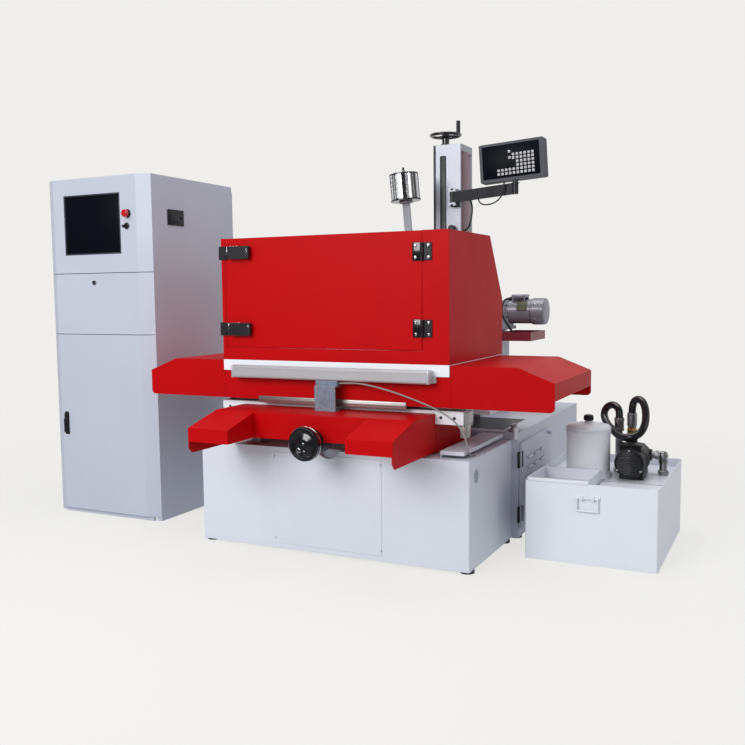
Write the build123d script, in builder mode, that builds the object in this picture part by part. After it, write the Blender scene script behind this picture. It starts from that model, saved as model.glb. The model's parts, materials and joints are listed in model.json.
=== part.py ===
from build123d import *
import os
from math import radians, sin, tan

# A fast wire-cut spark erosion machine: the machine itself, its control cabinet on the
# left and its coolant unit on the right, all three standing on the same floor.
# Millimetres. +X is to the operator's right, +Y is away from the operator, +Z is up.
# The pieces are drawn about the machine's centre plane (x = 0), the front face of the
# bed (y = 0) and the floor (z = 0). They are written with the origin on the floor below
# the middle of the three units.

# Fits and sheet thicknesses
run = 0.05            # radial running clearance of pins, screws and guides
seam = 3.0            # gap round a door or panel
sheet = 3.0           # covers and guards
plate = 4.0           # heavier covers of the table and saddle
free = 1.0            # clearance round a part that passes through a sheet

# Bed
bed_half = 659.0      # half of the width
bed_depth = 575.0
bed_top = 471.0
bed_wall = 25.0
foot_height = 12.0
foot_radius = 30.0
panel_half = 267.0
panel_low = 35.0
panel_high = 448.0
panel_lap = 20.0
panel_sheet = 2.0
notch_radius = 60.0
lift_radius = 30.0
lift_y = 87.0
lift_z = 396.0
trough_x = (520.0, 623.0)
trough_y = (35.0, 560.0)
trough_height = 29.0
trough_slot = 13.0

# Rear base with its service compartment
rear_half = 689.0
rear_back = 1740.0
rear_top = 505.0
rear_wall = 30.0
bay_depth = 180.0
bay_y = (600.0, 1080.0)
bay_z = (70.0, 430.0)
rear_door_y = (590.0, 1090.0)
rear_door_z = (58.0, 456.0)
rear_door_thick = 12.0

# Saddle, moving to and fro on the bed
saddle_front = 95.0
saddle_back = 560.0
saddle_top = 657.0
saddle_low = 535.0
saddle_half = 472.0
beam_half = 599.0
beam_depth = 122.0
beam_low = 600.0
rail_x = 380.0        # middle of each bed rail
rail_width = 40.0
rail_height = 30.0
block_margin = 25.0
block_lift = 5.0
saddle_travel = 150.0

# Handwheel, screw and nut of the saddle
screw_x = 12.0
screw_z = 532.0
screw_radius = 10.0
screw_end = 450.0
wheel_y = -212.0
wheel_radius = 71.5
gear_radius = 55.0
gear_y = (-140.0, -60.0)

# Saddle cover
cover_half = 475.0
cover_inner = 273.0
cover_front = -335.0
cover_recess = -137.0
cover_low = 482.0
cover_lip = 532.0
cover_brow = 591.0
cover_top = 644.0
cover_bend = -129.0

# Table, moving left and right on the saddle
table_half = 520.0
table_low = 700.0
table_top = 845.0
table_wall = 20.0
x_rail_half = 15.0
x_rail_height = 26.0
x_block_x = 300.0
skirt_half = 558.0
skirt_y = (57.0, 709.0)
skirt_low = 675.0
skirt_top = table_top + plate
wing_end = 989.0
wing_slope = 840.0
wing_tip = 791.0
wing_round = 20.0
wing_cut = 45.0        # the end flange stops this far above the skirt's lower edge
support_x = 330.0     # middle of each work support
support_half = 30.0
support_y = (110.0, 560.0)
support_top = 960.0
clamp_hole = 5.0
clamp_y = (160.0, 510.0)

# Drip tray and splash guard
guard_x = (-557.0, 555.0)
guard_y = (50.0, 570.0)
guard_low = skirt_top + sheet
guard_top = 1403.0
guard_back = 753.0
guard_shoulder = 1119.0
rim_low = 803.0
door_x = (-538.0, 438.0)
door_z = (909.0, 1402.0)
door_thick = 20.0
hinge_x = 440.0
hinge_y = 40.0
hinge_z = (1316.0, 1001.0)
hinge_height = 72.0
hinge_width = 38.0
hinge_radius = 7.0
hinge_pin = 3.0
latch_z = (1337.0, 992.0)
latch_x = -435.0

# Linear scale
scale_half = 480.0
scale_y = (3.0, 40.0)
scale_z = (775.0, 830.0)

# Column and wire head
cast_x = (-200.0, 360.0)
cast_y = (1000.0, 1500.0)
cast_top = 890.0
cast_wall = 30.0
mast_x = (117.0, 233.0)
mast_y = (1060.0, 1238.0)
mast_top = 1913.0
mast_wall = 12.0
arm_x = 10.0
arm_half = 45.0
arm_tip = 320.0
lower_arm_z = (895.0, 955.0)
upper_arm_z = (1215.0, 1315.0)
slide_z = (1100.0, 1340.0)
pulley_radius = 24.0
pulley_y = 350.0
pulley_pin = 4.0
z_screw = (136.0, 1100.0)
z_screw_radius = 12.0
z_wheel_z = 1966.0
z_wheel_radius = 84.0
z_rim_radius = 8.0

# Wire supply reel on its post
reel_x = 23.0
reel_y = 850.0
reel_z = (1618.0, 1758.0)
reel_radius = 78.0
reel_lean = 5.0

# Wire drum unit behind the column
drum_axis = (1350.0, 1042.0)
drum_x = (110.0, 350.0)
drum_radius = 75.0
shaft_radius = 12.0
drum_base_top = 935.0
carriage_z = (945.0, 963.0)
bracket_x = (370.0, 415.0)
motor_x = (415.0, 613.0)
cowl_x = 540.0
motor_radius = 66.0
cowl_radius = 71.0
tray_x = (398.0, 570.0)
tray_y = (1195.0, 1480.0)
tray_z = (889.0, 935.0)

# Readout on its arm
pivot_x = 201.0
pivot_y = 1030.0
stem_x = 560.0
stem_y = 945.0
bar_z = (1609.0, 1664.0)
bar_rise = 16.0       # the bar climbs by this much from its pivot to the stem
bar_thick = 12.0
pivot_radius = 8.0
readout_x = (387.0, 713.0)
readout_y = (930.0, 990.0)
readout_z = (1692.0, 1880.0)
readout_roll = 3.5    # degrees, right end up

# Control cabinet
cab_x = (-1744.0, -1067.0)
cab_y = (162.0, 871.0)
cab_top = 1750.0
cab_bevel = 75.0
cab_bevel_left = 52.0
cab_front = 30.0      # depth of the front panels and their bevels
cab_wall = 3.0
cab_back = 25.0
cab_low = 20.0
desk_z = 952.0        # seam between the lower door and the keyboard flap
head_z = 1266.0       # seam between the keyboard flap and the screen panel
screen_x = (-1620.0, -1246.0)
screen_z = (1361.0, 1666.0)
stop_x = -1198.0
stop_z = 1558.0
key_x = -1205.0
key_z = 1497.0
stop_stem = 11.0
key_stem = 9.0
stop_travel = 6.0
handle_x = -1657.0
handle_z = (426.0, 534.0)

# Coolant unit
tank_x = (791.0, 1344.0)
tank_y = (338.0, 1075.0)
tank_top = 344.0
deck_z = 305.0
basin_x = (805.0, 1060.0)
basin_y = (352.0, 600.0)
filter_x = 979.0
filter_y = 712.0
filter_radius = 97.5
filter_z = 520.0
pump_x = 1174.0
pump_z = 385.0
pump_y = (633.0, 800.0)
pump_radius = 64.0
head_y = (802.0, 880.0)
head_radius = 60.0
outlet_x = 1149.0
outlet_y = 850.0
outlet_top = 584.0
return_x = 1092.0
return_y = 845.0
return_top = 560.0
suction_x = 1290.0
suction_joint = 1240.0
bail_x = (1015.0, 1102.0)
bail_z = (232.0, 286.0)
bail_radius = 4.0

# Cord diameters
hose_size = 34.0
scale_cable_size = 7.0
readout_cable_size = 7.0
motor_cable_size = 12.0
column_cable_size = 9.0

pieces = {}


def block(x, y, z, mode=Mode.ADD):
    """A rectangular block between two values along each axis."""
    with Locations((sum(x) / 2, sum(y) / 2, sum(z) / 2)):
        Box(x[1] - x[0], y[1] - y[0], z[1] - z[0], mode=mode)


def rod(start, end, radius, mode=Mode.ADD):
    """A round bar between two points."""
    along = Vector(*end) - Vector(*start)
    with BuildSketch(Plane(origin=start, z_dir=along)) as section:
        Circle(radius)
    extrude(section.sketch, amount=along.length, mode=mode)


def prism(plane, points, depth, mode=Mode.ADD):
    """A straight-sided outline drawn on a plane and given a depth."""
    with BuildSketch(plane) as section:
        with BuildLine():
            Polyline(*points, close=True)
        make_face()
    extrude(section.sketch, amount=depth, mode=mode)


def side_plane(x):
    """A plane seen from the right: sketch x is +Y, sketch y is +Z, depth is +X."""
    return Plane.YZ.offset(x)


def front_plane(y):
    """A plane seen from the front: sketch x is +X, sketch y is +Z, depth is +Y."""
    return Plane(origin=(0, y, 0), x_dir=(-1, 0, 0), z_dir=(0, 1, 0))


def mirrored(points):
    """Front-plane points: that plane's own x runs to the left."""
    return [(-x, z) for x, z in points]


def cord(points, diameter):
    """A tube of straight runs joined by tangent arcs, as large as the runs allow."""
    route = [Vector(*point) for point in points]
    radii = []
    for before, corner, after in zip(route, route[1:], route[2:]):
        first = corner - before
        second = after - corner
        turn = radians(first.get_angle(second))
        radii.append(0.45 * min(first.length, second.length) / tan(turn / 2))
    with BuildLine() as path:
        FilletPolyline(*route, radius=radii)
    with BuildSketch(Plane(origin=route[0], z_dir=route[1] - route[0])) as section:
        Circle(diameter / 2)
    sweep(section.sketch, path=path.line)
    print("cord radii", [round(radius) for radius in radii])


# ---- Bed: an open-bottomed casting with an access opening behind its front panel
with BuildPart() as bed:
    block((-bed_half, bed_half), (0, bed_depth), (foot_height, bed_top))
    fillet(bed.edges().filter_by(Axis.Z).group_by(Axis.Y)[0], 6)
    inside = bed_half - bed_wall
    block((-inside, inside), (bed_wall, bed_depth - bed_wall),
          (foot_height, bed_top - bed_wall), Mode.SUBTRACT)
    block((-panel_half + panel_lap, panel_half - panel_lap), (0, bed_wall),
          (panel_low + panel_lap, panel_high - panel_lap), Mode.SUBTRACT)
    rod((screw_x, 0, bed_top + bed_wall), (screw_x, bed_wall + 15, bed_top + bed_wall),
        notch_radius, Mode.SUBTRACT)
    rod((-bed_half, lift_y, lift_z), (bed_half, lift_y, lift_z), lift_radius, Mode.SUBTRACT)
    block(trough_x, trough_y, (bed_top, bed_top + trough_height))
    block((trough_x[0] + plate, trough_x[1]), (trough_y[0], trough_y[1] - plate),
          (bed_top, bed_top + trough_slot), Mode.SUBTRACT)
    block((trough_x[0] + plate, trough_x[1] - plate), (trough_y[0] + plate, trough_y[1] - plate),
          (bed_top, bed_top + trough_height - plate), Mode.SUBTRACT)
pieces["bed"] = bed

with BuildPart() as bed_panel:
    block((-panel_half, panel_half), (-panel_sheet, 0), (panel_low, panel_high))
    rod((screw_x, -panel_sheet, bed_top + bed_wall), (screw_x, 0, bed_top + bed_wall),
        notch_radius, Mode.SUBTRACT)
    for x in (-panel_half + 5, panel_half - 5):
        for z in (panel_low + 22, panel_high - 22):
            rod((x, -panel_sheet - 3, z), (x, -panel_sheet, z), 4.5)
pieces["bed_panel"] = bed_panel

with BuildPart() as leveling_feet:
    foot_places = [(side * (bed_half - bed_wall), y) for side in (-1, 1) for y in (45, 530)]
    foot_places += [(side * (rear_half - rear_wall), y) for side in (-1, 1) for y in (640, 1690)]
    for x, y in foot_places:
        rod((x, y, 0), (x, y, foot_height), foot_radius)
pieces["leveling_feet"] = leveling_feet

with BuildPart() as guide_rails:
    for side in (-1, 1):
        block((side * rail_x - rail_width / 2, side * rail_x + rail_width / 2), (40, 565),
              (bed_top, bed_top + rail_height))
    # The nut of the saddle's screw stands on the bed between the rails.
    block((screw_x - 30, screw_x + 30), (240, 290), (bed_top, screw_z + 30))
    rod((screw_x, 240, screw_z), (screw_x, 290, screw_z), screw_radius + run, Mode.SUBTRACT)
pieces["guide_rails"] = guide_rails

# ---- Rear base: closed service compartment on its right side
with BuildPart() as rear_base:
    block((-rear_half, rear_half), (bed_depth, rear_back), (foot_height, rear_top))
    block((-rear_half + rear_wall, rear_half - bay_depth - rear_wall),
          (bed_depth + rear_wall, rear_back - rear_wall),
          (foot_height, rear_top - rear_wall), Mode.SUBTRACT)
    block((rear_half - bay_depth, rear_half), bay_y, bay_z, Mode.SUBTRACT)
    for z in (125, 380):
        block((rear_half, rear_half + 9), (rear_door_y[0] - 16, rear_door_y[0] - 4),
              (z - 37, z - 13))
        block((rear_half, rear_half + 9), (rear_door_y[0] - 16, rear_door_y[0] - 4),
              (z + 13, z + 37))
        rod((rear_half + 9, rear_door_y[0] - 8, z - 37), (rear_half + 9, rear_door_y[0] - 8, z - 13), 6)
        rod((rear_half + 9, rear_door_y[0] - 8, z + 13), (rear_half + 9, rear_door_y[0] - 8, z + 37), 6)
        rod((rear_half + 9, rear_door_y[0] - 8, z - 37), (rear_half + 9, rear_door_y[0] - 8, z + 37), 3)
pieces["rear_base"] = rear_base

with BuildPart() as rear_door:
    block((rear_half + 0.5, rear_half + 0.5 + rear_door_thick), rear_door_y, rear_door_z)
    block((rear_half + 0.5, rear_half + rear_door_thick - 1.5),
          (rear_door_y[0] + 2, rear_door_y[1] - 2), (rear_door_z[0] + 2, rear_door_z[1] - 2),
          Mode.SUBTRACT)
    for z in (125, 380):
        rod((rear_half + 9, rear_door_y[0] - 8, z - 12.5), (rear_half + 9, rear_door_y[0] - 8, z + 12.5), 6)
        block((rear_half + 6, rear_half + 12), (rear_door_y[0] - 8, rear_door_y[0] + 1),
              (z - 12.5, z + 12.5))
        rod((rear_half + 9, rear_door_y[0] - 8, z - 13), (rear_half + 9, rear_door_y[0] - 8, z + 13),
            3 + run, Mode.SUBTRACT)
    rod((rear_half + rear_door_thick, rear_door_y[1] - 22, 438),
        (rear_half + rear_door_thick + 18, rear_door_y[1] - 22, 438), 11)
pieces["rear_door"] = rear_door

# ---- Saddle and what it carries
with BuildPart() as saddle:
    block((-saddle_half, saddle_half), (saddle_front, saddle_back), (saddle_low, saddle_top))
    block((-beam_half, beam_half), (saddle_front, saddle_front + beam_depth), (beam_low, saddle_top))
    block((-beam_half, beam_half), (saddle_back - beam_depth, saddle_back), (beam_low, saddle_top))
    block((screw_x - 45, screw_x + 45), (saddle_front, saddle_back), (saddle_low, screw_z + 48),
          Mode.SUBTRACT)
    block((screw_x + 90, 300), (saddle_front + beam_depth, saddle_back - beam_depth),
          (saddle_low, saddle_top), Mode.SUBTRACT)
    block((-300, screw_x - 90), (saddle_front + beam_depth, saddle_back - beam_depth),
          (saddle_low, saddle_top), Mode.SUBTRACT)
pieces["saddle"] = saddle

x_rail_y = (saddle_front + beam_depth / 2, saddle_back - beam_depth / 2)
with BuildPart() as saddle_guides:
    for side in (-1, 1):
        middle = side * rail_x
        for y in ((215, 285), (345, 415)):
            block((middle - rail_width / 2 - block_margin, middle + rail_width / 2 + block_margin), y,
                  (bed_top + block_lift, saddle_low))
            block((middle - rail_width / 2 - run, middle + rail_width / 2 + run), y,
                  (bed_top + block_lift, bed_top + rail_height + run), Mode.SUBTRACT)
    for y in x_rail_y:
        block((-beam_half + 9, beam_half - 4), (y - x_rail_half, y + x_rail_half),
              (saddle_top, saddle_top + x_rail_height))
pieces["saddle_guides"] = saddle_guides

with BuildPart() as saddle_cover:
    prism(side_plane(-cover_half),
          [(saddle_front, cover_low), (cover_front + 22, cover_low), (cover_front, cover_low + 22),
           (cover_front, cover_brow), (cover_bend, cover_top), (saddle_front, cover_top)],
          2 * cover_half)
    fillet(saddle_cover.edges().filter_by(Axis.X).group_by(Axis.Z)[-1].sort_by(Axis.Y)[0], 12)
    block((-cover_inner, cover_inner), (cover_front, cover_recess), (cover_low, cover_top),
          Mode.SUBTRACT)
    block((-cover_half + plate, cover_half - plate), (cover_front, saddle_front),
          (cover_low, cover_lip), Mode.SUBTRACT)
    for x in (-cover_half + plate, cover_inner + plate):
        prism(side_plane(x),
              [(cover_recess + 10, cover_low), (cover_front + plate, cover_low),
               (cover_front + plate, cover_brow - plate), (cover_bend, cover_top - plate),
               (cover_recess + 10, cover_top - plate)],
              cover_half - cover_inner - 2 * plate, Mode.SUBTRACT)
    block((-cover_half + plate, cover_half - plate), (cover_recess + plate, saddle_front),
          (cover_low, cover_top - plate), Mode.SUBTRACT)
    rod((screw_x, cover_recess, screw_z), (screw_x, cover_recess + plate, screw_z),
        gear_radius + free, Mode.SUBTRACT)
    # Side plates hang beside the saddle and close the gap above the bed.
    for x in ((-cover_half - 1, -saddle_half), (saddle_half, cover_half + 1)):
        block(x, (saddle_front + seam, saddle_back - 20), (bed_top + block_lift, beam_low))
pieces["saddle_cover"] = saddle_cover

with BuildPart() as y_drive_housing:
    rod((screw_x, gear_y[0], screw_z), (screw_x, gear_y[1], screw_z), gear_radius)
    rod((screw_x, gear_y[1], screw_z), (screw_x, saddle_front, screw_z), 22)
    block((screw_x - 72, screw_x + 72), (saddle_front - 12, saddle_front), (screw_z - 42, cover_top - 10))
    rod((screw_x, gear_y[0], screw_z), (screw_x, saddle_front, screw_z), screw_radius + run,
        Mode.SUBTRACT)
pieces["y_drive_housing"] = y_drive_housing

with BuildPart() as y_handwheel:
    with BuildSketch(Plane.YZ.offset(screw_x)) as wheel_section:
        with BuildLine():
            Polyline((wheel_y + 4, screw_z), (wheel_y + 4, screw_z + 20), (wheel_y + 12, screw_z + 44),
                     (wheel_y, screw_z + 58), (wheel_y, screw_z + wheel_radius - 5),
                     (wheel_y + 5, screw_z + wheel_radius), (wheel_y + 17, screw_z + wheel_radius),
                     (wheel_y + 22, screw_z + wheel_radius - 6), (wheel_y + 22, screw_z + 40),
                     (wheel_y + 24, screw_z + 40), (wheel_y + 24, screw_z + 54),
                     (wheel_y + 48, screw_z + 54), (wheel_y + 48, screw_z + 22),
                     (gear_y[0] - free, screw_z + 22), (gear_y[0] - free, screw_z), close=True)
        make_face()
    revolve(axis=Axis((screw_x, 0, screw_z), (0, 1, 0)))
    rod((screw_x, gear_y[0] - free, screw_z), (screw_x, screw_end, screw_z), screw_radius)
pieces["y_handwheel"] = y_handwheel

with BuildPart() as scale_bracket:
    block((-44, 57), (-10, -4), (cover_top, scale_z[0] - 22))
    block((-44, 57), (-10, 28), (cover_top, cover_top + 6))
    block((-44, 57), (-10, 30), (scale_z[0] - 28, scale_z[0] - 22))
    block((-46, 59), (scale_y[0] + 2, scale_y[1] - 2), (scale_z[0] - 22, scale_z[0] - 0.5))
pieces["scale_bracket"] = scale_bracket

# ---- Table and the guard round the work
with BuildPart() as table:
    block((-table_half, table_half), (saddle_front, saddle_back), (table_low, table_top))
    block((-table_half + table_wall, table_half - table_wall),
          (saddle_front + table_wall, saddle_back - table_wall),
          (table_low, table_top - table_wall), Mode.SUBTRACT)
    for y in x_rail_y:
        block((-x_block_x - 60, x_block_x + 60), (y - 30, y + 30), (table_low, table_top - 10))
        for x in (-x_block_x, x_block_x):
            block((x - 45, x + 45), (y - x_rail_half - 20, y + x_rail_half + 20),
                  (saddle_top + block_lift, table_low))
            block((x - 45, x + 45), (y - x_rail_half - run, y + x_rail_half + run),
                  (saddle_top + block_lift, saddle_top + x_rail_height + run), Mode.SUBTRACT)
    for side in (-1, 1):
        middle = side * support_x
        block((middle - support_half, middle + support_half), support_y, (table_top, support_top))
        for y in clamp_y:
            rod((middle, y, support_top - 40), (middle, y, support_top), clamp_hole, Mode.SUBTRACT)
pieces["table"] = table

support_slots = [(side * support_x - support_half - free, side * support_x + support_half + free)
                 for side in (-1, 1)]
with BuildPart() as table_skirt:
    block((-skirt_half, skirt_half), skirt_y, (skirt_low, skirt_top))
    block((-skirt_half, skirt_half), (skirt_y[0] + plate, skirt_y[1] - plate),
          (skirt_low, table_top), Mode.SUBTRACT)
    for x in support_slots:
        block(x, (support_y[0] - free, support_y[1] + free), (table_top, skirt_top), Mode.SUBTRACT)
pieces["table_skirt"] = table_skirt

with BuildPart() as table_wings:
    for side in (-1, 1):
        near = side * (skirt_half + 0.6)
        far = side * wing_end
        with BuildSketch(Plane.XZ.offset(-skirt_y[1])):
            with BuildLine():
                Line((near, skirt_low), (far - side * wing_round, skirt_low))
                RadiusArc((far - side * wing_round, skirt_low), (far, skirt_low + wing_round),
                          -side * wing_round)
                Polyline((far, skirt_low + wing_round), (far, wing_tip),
                         (side * wing_slope, skirt_top), (near, skirt_top), (near, skirt_low))
            make_face()
        extrude(amount=skirt_y[1] - skirt_y[0])
        inner_far = far - side * plate
        prism(Plane.XZ.offset(-skirt_y[1] + plate),
              [(near, skirt_low), (inner_far, skirt_low), (inner_far, wing_tip - plate),
               (side * wing_slope, skirt_top - plate), (near, skirt_top - plate)],
              skirt_y[1] - skirt_y[0] - 2 * plate, Mode.SUBTRACT)
        block(sorted((inner_far - side * wing_round, far + side)),
              (skirt_y[0] + plate, skirt_y[1] - plate),
              (skirt_low, skirt_low + wing_cut), Mode.SUBTRACT)
pieces["table_wings"] = table_wings

with BuildPart() as drip_tray:
    block((guard_x[0], guard_x[1]), (guard_y[0], skirt_y[1]), (skirt_top, guard_low))
    block((guard_x[0], guard_x[1]), (guard_y[0], skirt_y[0]), (rim_low, guard_low))
    block((guard_x[0] + 6, guard_x[1] - 6), (skirt_y[1] - sheet, skirt_y[1]), (guard_low, guard_low + 30))
    for x in support_slots:
        block(x, (support_y[0] - free, support_y[1] + free), (skirt_top, guard_low), Mode.SUBTRACT)
pieces["drip_tray"] = drip_tray

with BuildPart() as linear_scale:
    block((-scale_half, scale_half), (scale_y[0], scale_y[1]), (scale_z[0], scale_z[1]))
    chamfer(linear_scale.edges().filter_by(Axis.X).group_by(Axis.Y)[0], 6)
    for side in (-1, 1):
        block((side * (scale_half - 12) - 30, side * (scale_half - 12) + 30), (scale_y[1], skirt_y[0]),
              (scale_z[0] + 2, rim_low - 1))
pieces["linear_scale"] = linear_scale

with BuildPart() as enclosure:
    front = (guard_y[0], guard_y[0] + sheet)
    for x in ((guard_x[0], guard_x[0] + sheet), (guard_x[1] - sheet, guard_x[1])):
        block(x, guard_y, (guard_low, guard_top))
    block((guard_x[0], door_x[0] - 1), front, (guard_low, guard_top))
    block((door_x[1] + 1, guard_x[1]), front, (guard_low, guard_top))
    block(guard_x, front, (guard_low, door_z[0] - 1))
    block(guard_x, (guard_y[0], guard_y[0] + 30), (guard_low, guard_low + sheet))
    for x in ((guard_x[0], guard_x[0] + 18), (guard_x[1] - 18, guard_x[1])):
        block(x, guard_y, (guard_top - sheet, guard_top))
        block(x, guard_y, (guard_low, guard_low + sheet))
    for x in (guard_x[0], guard_x[1] - sheet):
        prism(side_plane(x),
              [(guard_y[1] + 0.6, guard_low), (guard_back, guard_low), (guard_back, guard_shoulder),
               (guard_y[1] + 0.6, guard_top)], sheet)
pieces["enclosure"] = enclosure

leaf_y = (guard_y[0] - 5, guard_y[0])
with BuildPart() as door_fittings:
    for z in hinge_z:
        low = z - hinge_height / 2
        third = hinge_height / 3
        block((hinge_x + hinge_radius + 1, hinge_x + hinge_width + 4), leaf_y, (low, low + hinge_height))
        for start in (low, low + 2 * third):
            block((hinge_x, hinge_x + hinge_radius + 2), leaf_y, (start, start + third))
            rod((hinge_x, hinge_y, start), (hinge_x, hinge_y, start + third), hinge_radius)
        rod((hinge_x, hinge_y, low), (hinge_x, hinge_y, low + hinge_height), hinge_pin)
    for z in latch_z:
        block((guard_x[0] - 8, guard_x[0] + 37), (guard_y[0] - 8, guard_y[0]), (z - 30, z + 30))
        block((guard_x[0] - 8, guard_x[0]), (guard_y[0] - 8, guard_y[0] + 42), (z - 30, z + 30))
pieces["door_fittings"] = door_fittings

with BuildPart() as door:
    block(door_x, (guard_y[0], guard_y[0] + door_thick), door_z)
    block((door_x[0] + 2, door_x[1] - 2), (guard_y[0] + 2, guard_y[0] + door_thick),
          (door_z[0] + 2, door_z[1] - 2), Mode.SUBTRACT)
    for z in hinge_z:
        low = z - hinge_height / 2
        third = hinge_height / 3
        block((hinge_x - hinge_width - 4, hinge_x - hinge_radius - 1), leaf_y, (low, low + hinge_height))
        block((hinge_x - hinge_radius - 2, hinge_x), leaf_y, (low + third + 0.5, low + 2 * third - 0.5))
        rod((hinge_x, hinge_y, low + third + 0.5), (hinge_x, hinge_y, low + 2 * third - 0.5), hinge_radius)
        rod((hinge_x, hinge_y, low), (hinge_x, hinge_y, low + hinge_height), hinge_pin + run,
            Mode.SUBTRACT)
pieces["door"] = door


def build_latch(z):
    """A turning latch lever, its boss standing on the door's skin."""
    with BuildPart() as latch:
        block((latch_x - 105, latch_x + 20), (guard_y[0] - 22, guard_y[0] - 11), (z - 16, z + 16))
        block((latch_x - 70, latch_x + 42), (guard_y[0] - 26, guard_y[0] - 12), (z - 29, z + 29))
        fillet(latch.edges().filter_by(Axis.Y), 5)
        rod((latch_x, guard_y[0] - 12, z), (latch_x, guard_y[0] - 0.2, z), 16)
    return latch


pieces["upper_latch"] = build_latch(latch_z[0])
pieces["lower_latch"] = build_latch(latch_z[1])

# ---- Column, wire arms and the vertical slide
with BuildPart() as column:
    block(cast_x, cast_y, (rear_top, cast_top))
    block((cast_x[0] + cast_wall, cast_x[1] - cast_wall), (cast_y[0] + cast_wall, cast_y[1] - cast_wall),
          (rear_top, cast_top - cast_wall), Mode.SUBTRACT)
    block((-110, mast_x[0]), (cast_y[0], cast_y[0] + 60), (cast_top, 1040))
    block(mast_x, mast_y, (cast_top, mast_top))
    block((mast_x[0], mast_x[1] - mast_wall), (mast_y[0] + mast_wall, mast_y[1] - mast_wall),
          (cast_top + mast_wall, mast_top - mast_wall), Mode.SUBTRACT)
    block((mast_x[0] - 34, mast_x[0] + 1), (mast_y[0], mast_y[0] + 8), (cast_top, mast_top - 1))
    rod((*z_screw, mast_top - mast_wall), (*z_screw, mast_top), z_screw_radius + run, Mode.SUBTRACT)
    # Bracket for the readout's arm on the front of the mast
    for z in ((bar_z[0] - 16, bar_z[0] - 0.5), (bar_z[1] + 0.5, bar_z[1] + 16)):
        block((pivot_x - 20, pivot_x + 20), (pivot_y - 16, mast_y[0]), z)
    rod((pivot_x, pivot_y, bar_z[0] - 16), (pivot_x, pivot_y, bar_z[1] + 16), pivot_radius)
pieces["column"] = column

with BuildPart() as z_slide:
    block((-70, mast_x[0] - 36), (mast_y[0] + mast_wall, mast_y[1] - mast_wall), slide_z)
    block((mast_x[0] - 37, mast_x[1] - mast_wall - run),
          (mast_y[0] + mast_wall + run, mast_y[1] - mast_wall - run), slide_z)
    rod((*z_screw, slide_z[0]), (*z_screw, slide_z[1]), z_screw_radius + run, Mode.SUBTRACT)
pieces["z_slide"] = z_slide


def arm_fork(z_wheel, z):
    """The slot and pin that hold a guide wheel at the tip of an arm."""
    block((arm_x - 10, arm_x + 10), (arm_tip, pulley_y + pulley_radius + 6), z, Mode.SUBTRACT)
    rod((arm_x - 30, pulley_y, z_wheel), (arm_x + 30, pulley_y, z_wheel), pulley_pin)


lower_wheel_z = lower_arm_z[1] - 18
upper_wheel_z = upper_arm_z[0] + 18
with BuildPart() as lower_arm:
    block((arm_x - arm_half, arm_x + arm_half), (arm_tip + 80, cast_y[0]), lower_arm_z)
    block((arm_x - 24, arm_x + 24), (arm_tip, arm_tip + 80), lower_arm_z)
    arm_fork(lower_wheel_z, lower_arm_z)
pieces["lower_arm"] = lower_arm

post_head = (reel_x - 6, reel_z[0] - 14)
post_foot = (post_head[0] + (post_head[1] - upper_arm_z[1]) * tan(radians(reel_lean)), upper_arm_z[1])
with BuildPart() as upper_arm:
    block((arm_x - arm_half, arm_x + arm_half), (arm_tip + 80, mast_y[0] + mast_wall), upper_arm_z)
    block((arm_x - 24, arm_x + 24), (arm_tip, arm_tip + 80), upper_arm_z)
    arm_fork(upper_wheel_z, upper_arm_z)
    # The leaning flat post of the supply reel, standing on the arm
    prism(front_plane(reel_y - 4),
          mirrored([(post_foot[0] - 20, post_foot[1] - 10), (post_foot[0] + 20, post_foot[1] - 10),
                    (post_head[0] + 20, post_head[1]), (post_head[0] - 20, post_head[1])]), 8)
    block((post_foot[0] - 32, post_foot[0] + 22), (reel_y - 20, reel_y + 20),
          (upper_arm_z[1] - 1, upper_arm_z[1] + 8))
    lean = Plane(origin=(reel_x - 6, reel_y, reel_z[0] - 16), x_dir=(1, 0, 0),
                 z_dir=Vector(0, 0, 1).rotate(Axis.Y, -reel_lean))
    with BuildSketch(lean):
        Circle(34)
    extrude(amount=8)
    with BuildSketch(lean):
        Circle(8)
    extrude(amount=reel_z[1] - reel_z[0] + 24)
pieces["upper_arm"] = upper_arm

reel_height = reel_z[1] - reel_z[0]
with BuildPart() as wire_reel:
    with BuildSketch(lean.offset(9)):
        Circle(reel_radius)
        Circle(8 + run, mode=Mode.SUBTRACT)
    extrude(amount=9)
    with BuildSketch(lean.offset(18)):
        Circle(reel_radius - 6)
        Circle(8 + run, mode=Mode.SUBTRACT)
    extrude(amount=reel_height - 18)
    with BuildSketch(lean.offset(reel_height)):
        Circle(reel_radius - 2)
        Circle(8 + run, mode=Mode.SUBTRACT)
    extrude(amount=8)
pieces["wire_reel"] = wire_reel


def build_pulley(z):
    """A grooved wire guide wheel, turning on the pin in an arm's fork."""
    with BuildPart() as pulley:
        with BuildSketch(Plane.XY.offset(z)):
            with BuildLine():
                Polyline((arm_x - 8, pulley_y + pulley_pin + run), (arm_x - 8, pulley_y + pulley_radius),
                         (arm_x, pulley_y + pulley_radius - 6), (arm_x + 8, pulley_y + pulley_radius),
                         (arm_x + 8, pulley_y + pulley_pin + run), close=True)
            make_face()
        revolve(axis=Axis((0, pulley_y, z), (1, 0, 0)))
    return pulley


pieces["lower_wheel"] = build_pulley(lower_wheel_z)
pieces["upper_wheel"] = build_pulley(upper_wheel_z)

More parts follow.
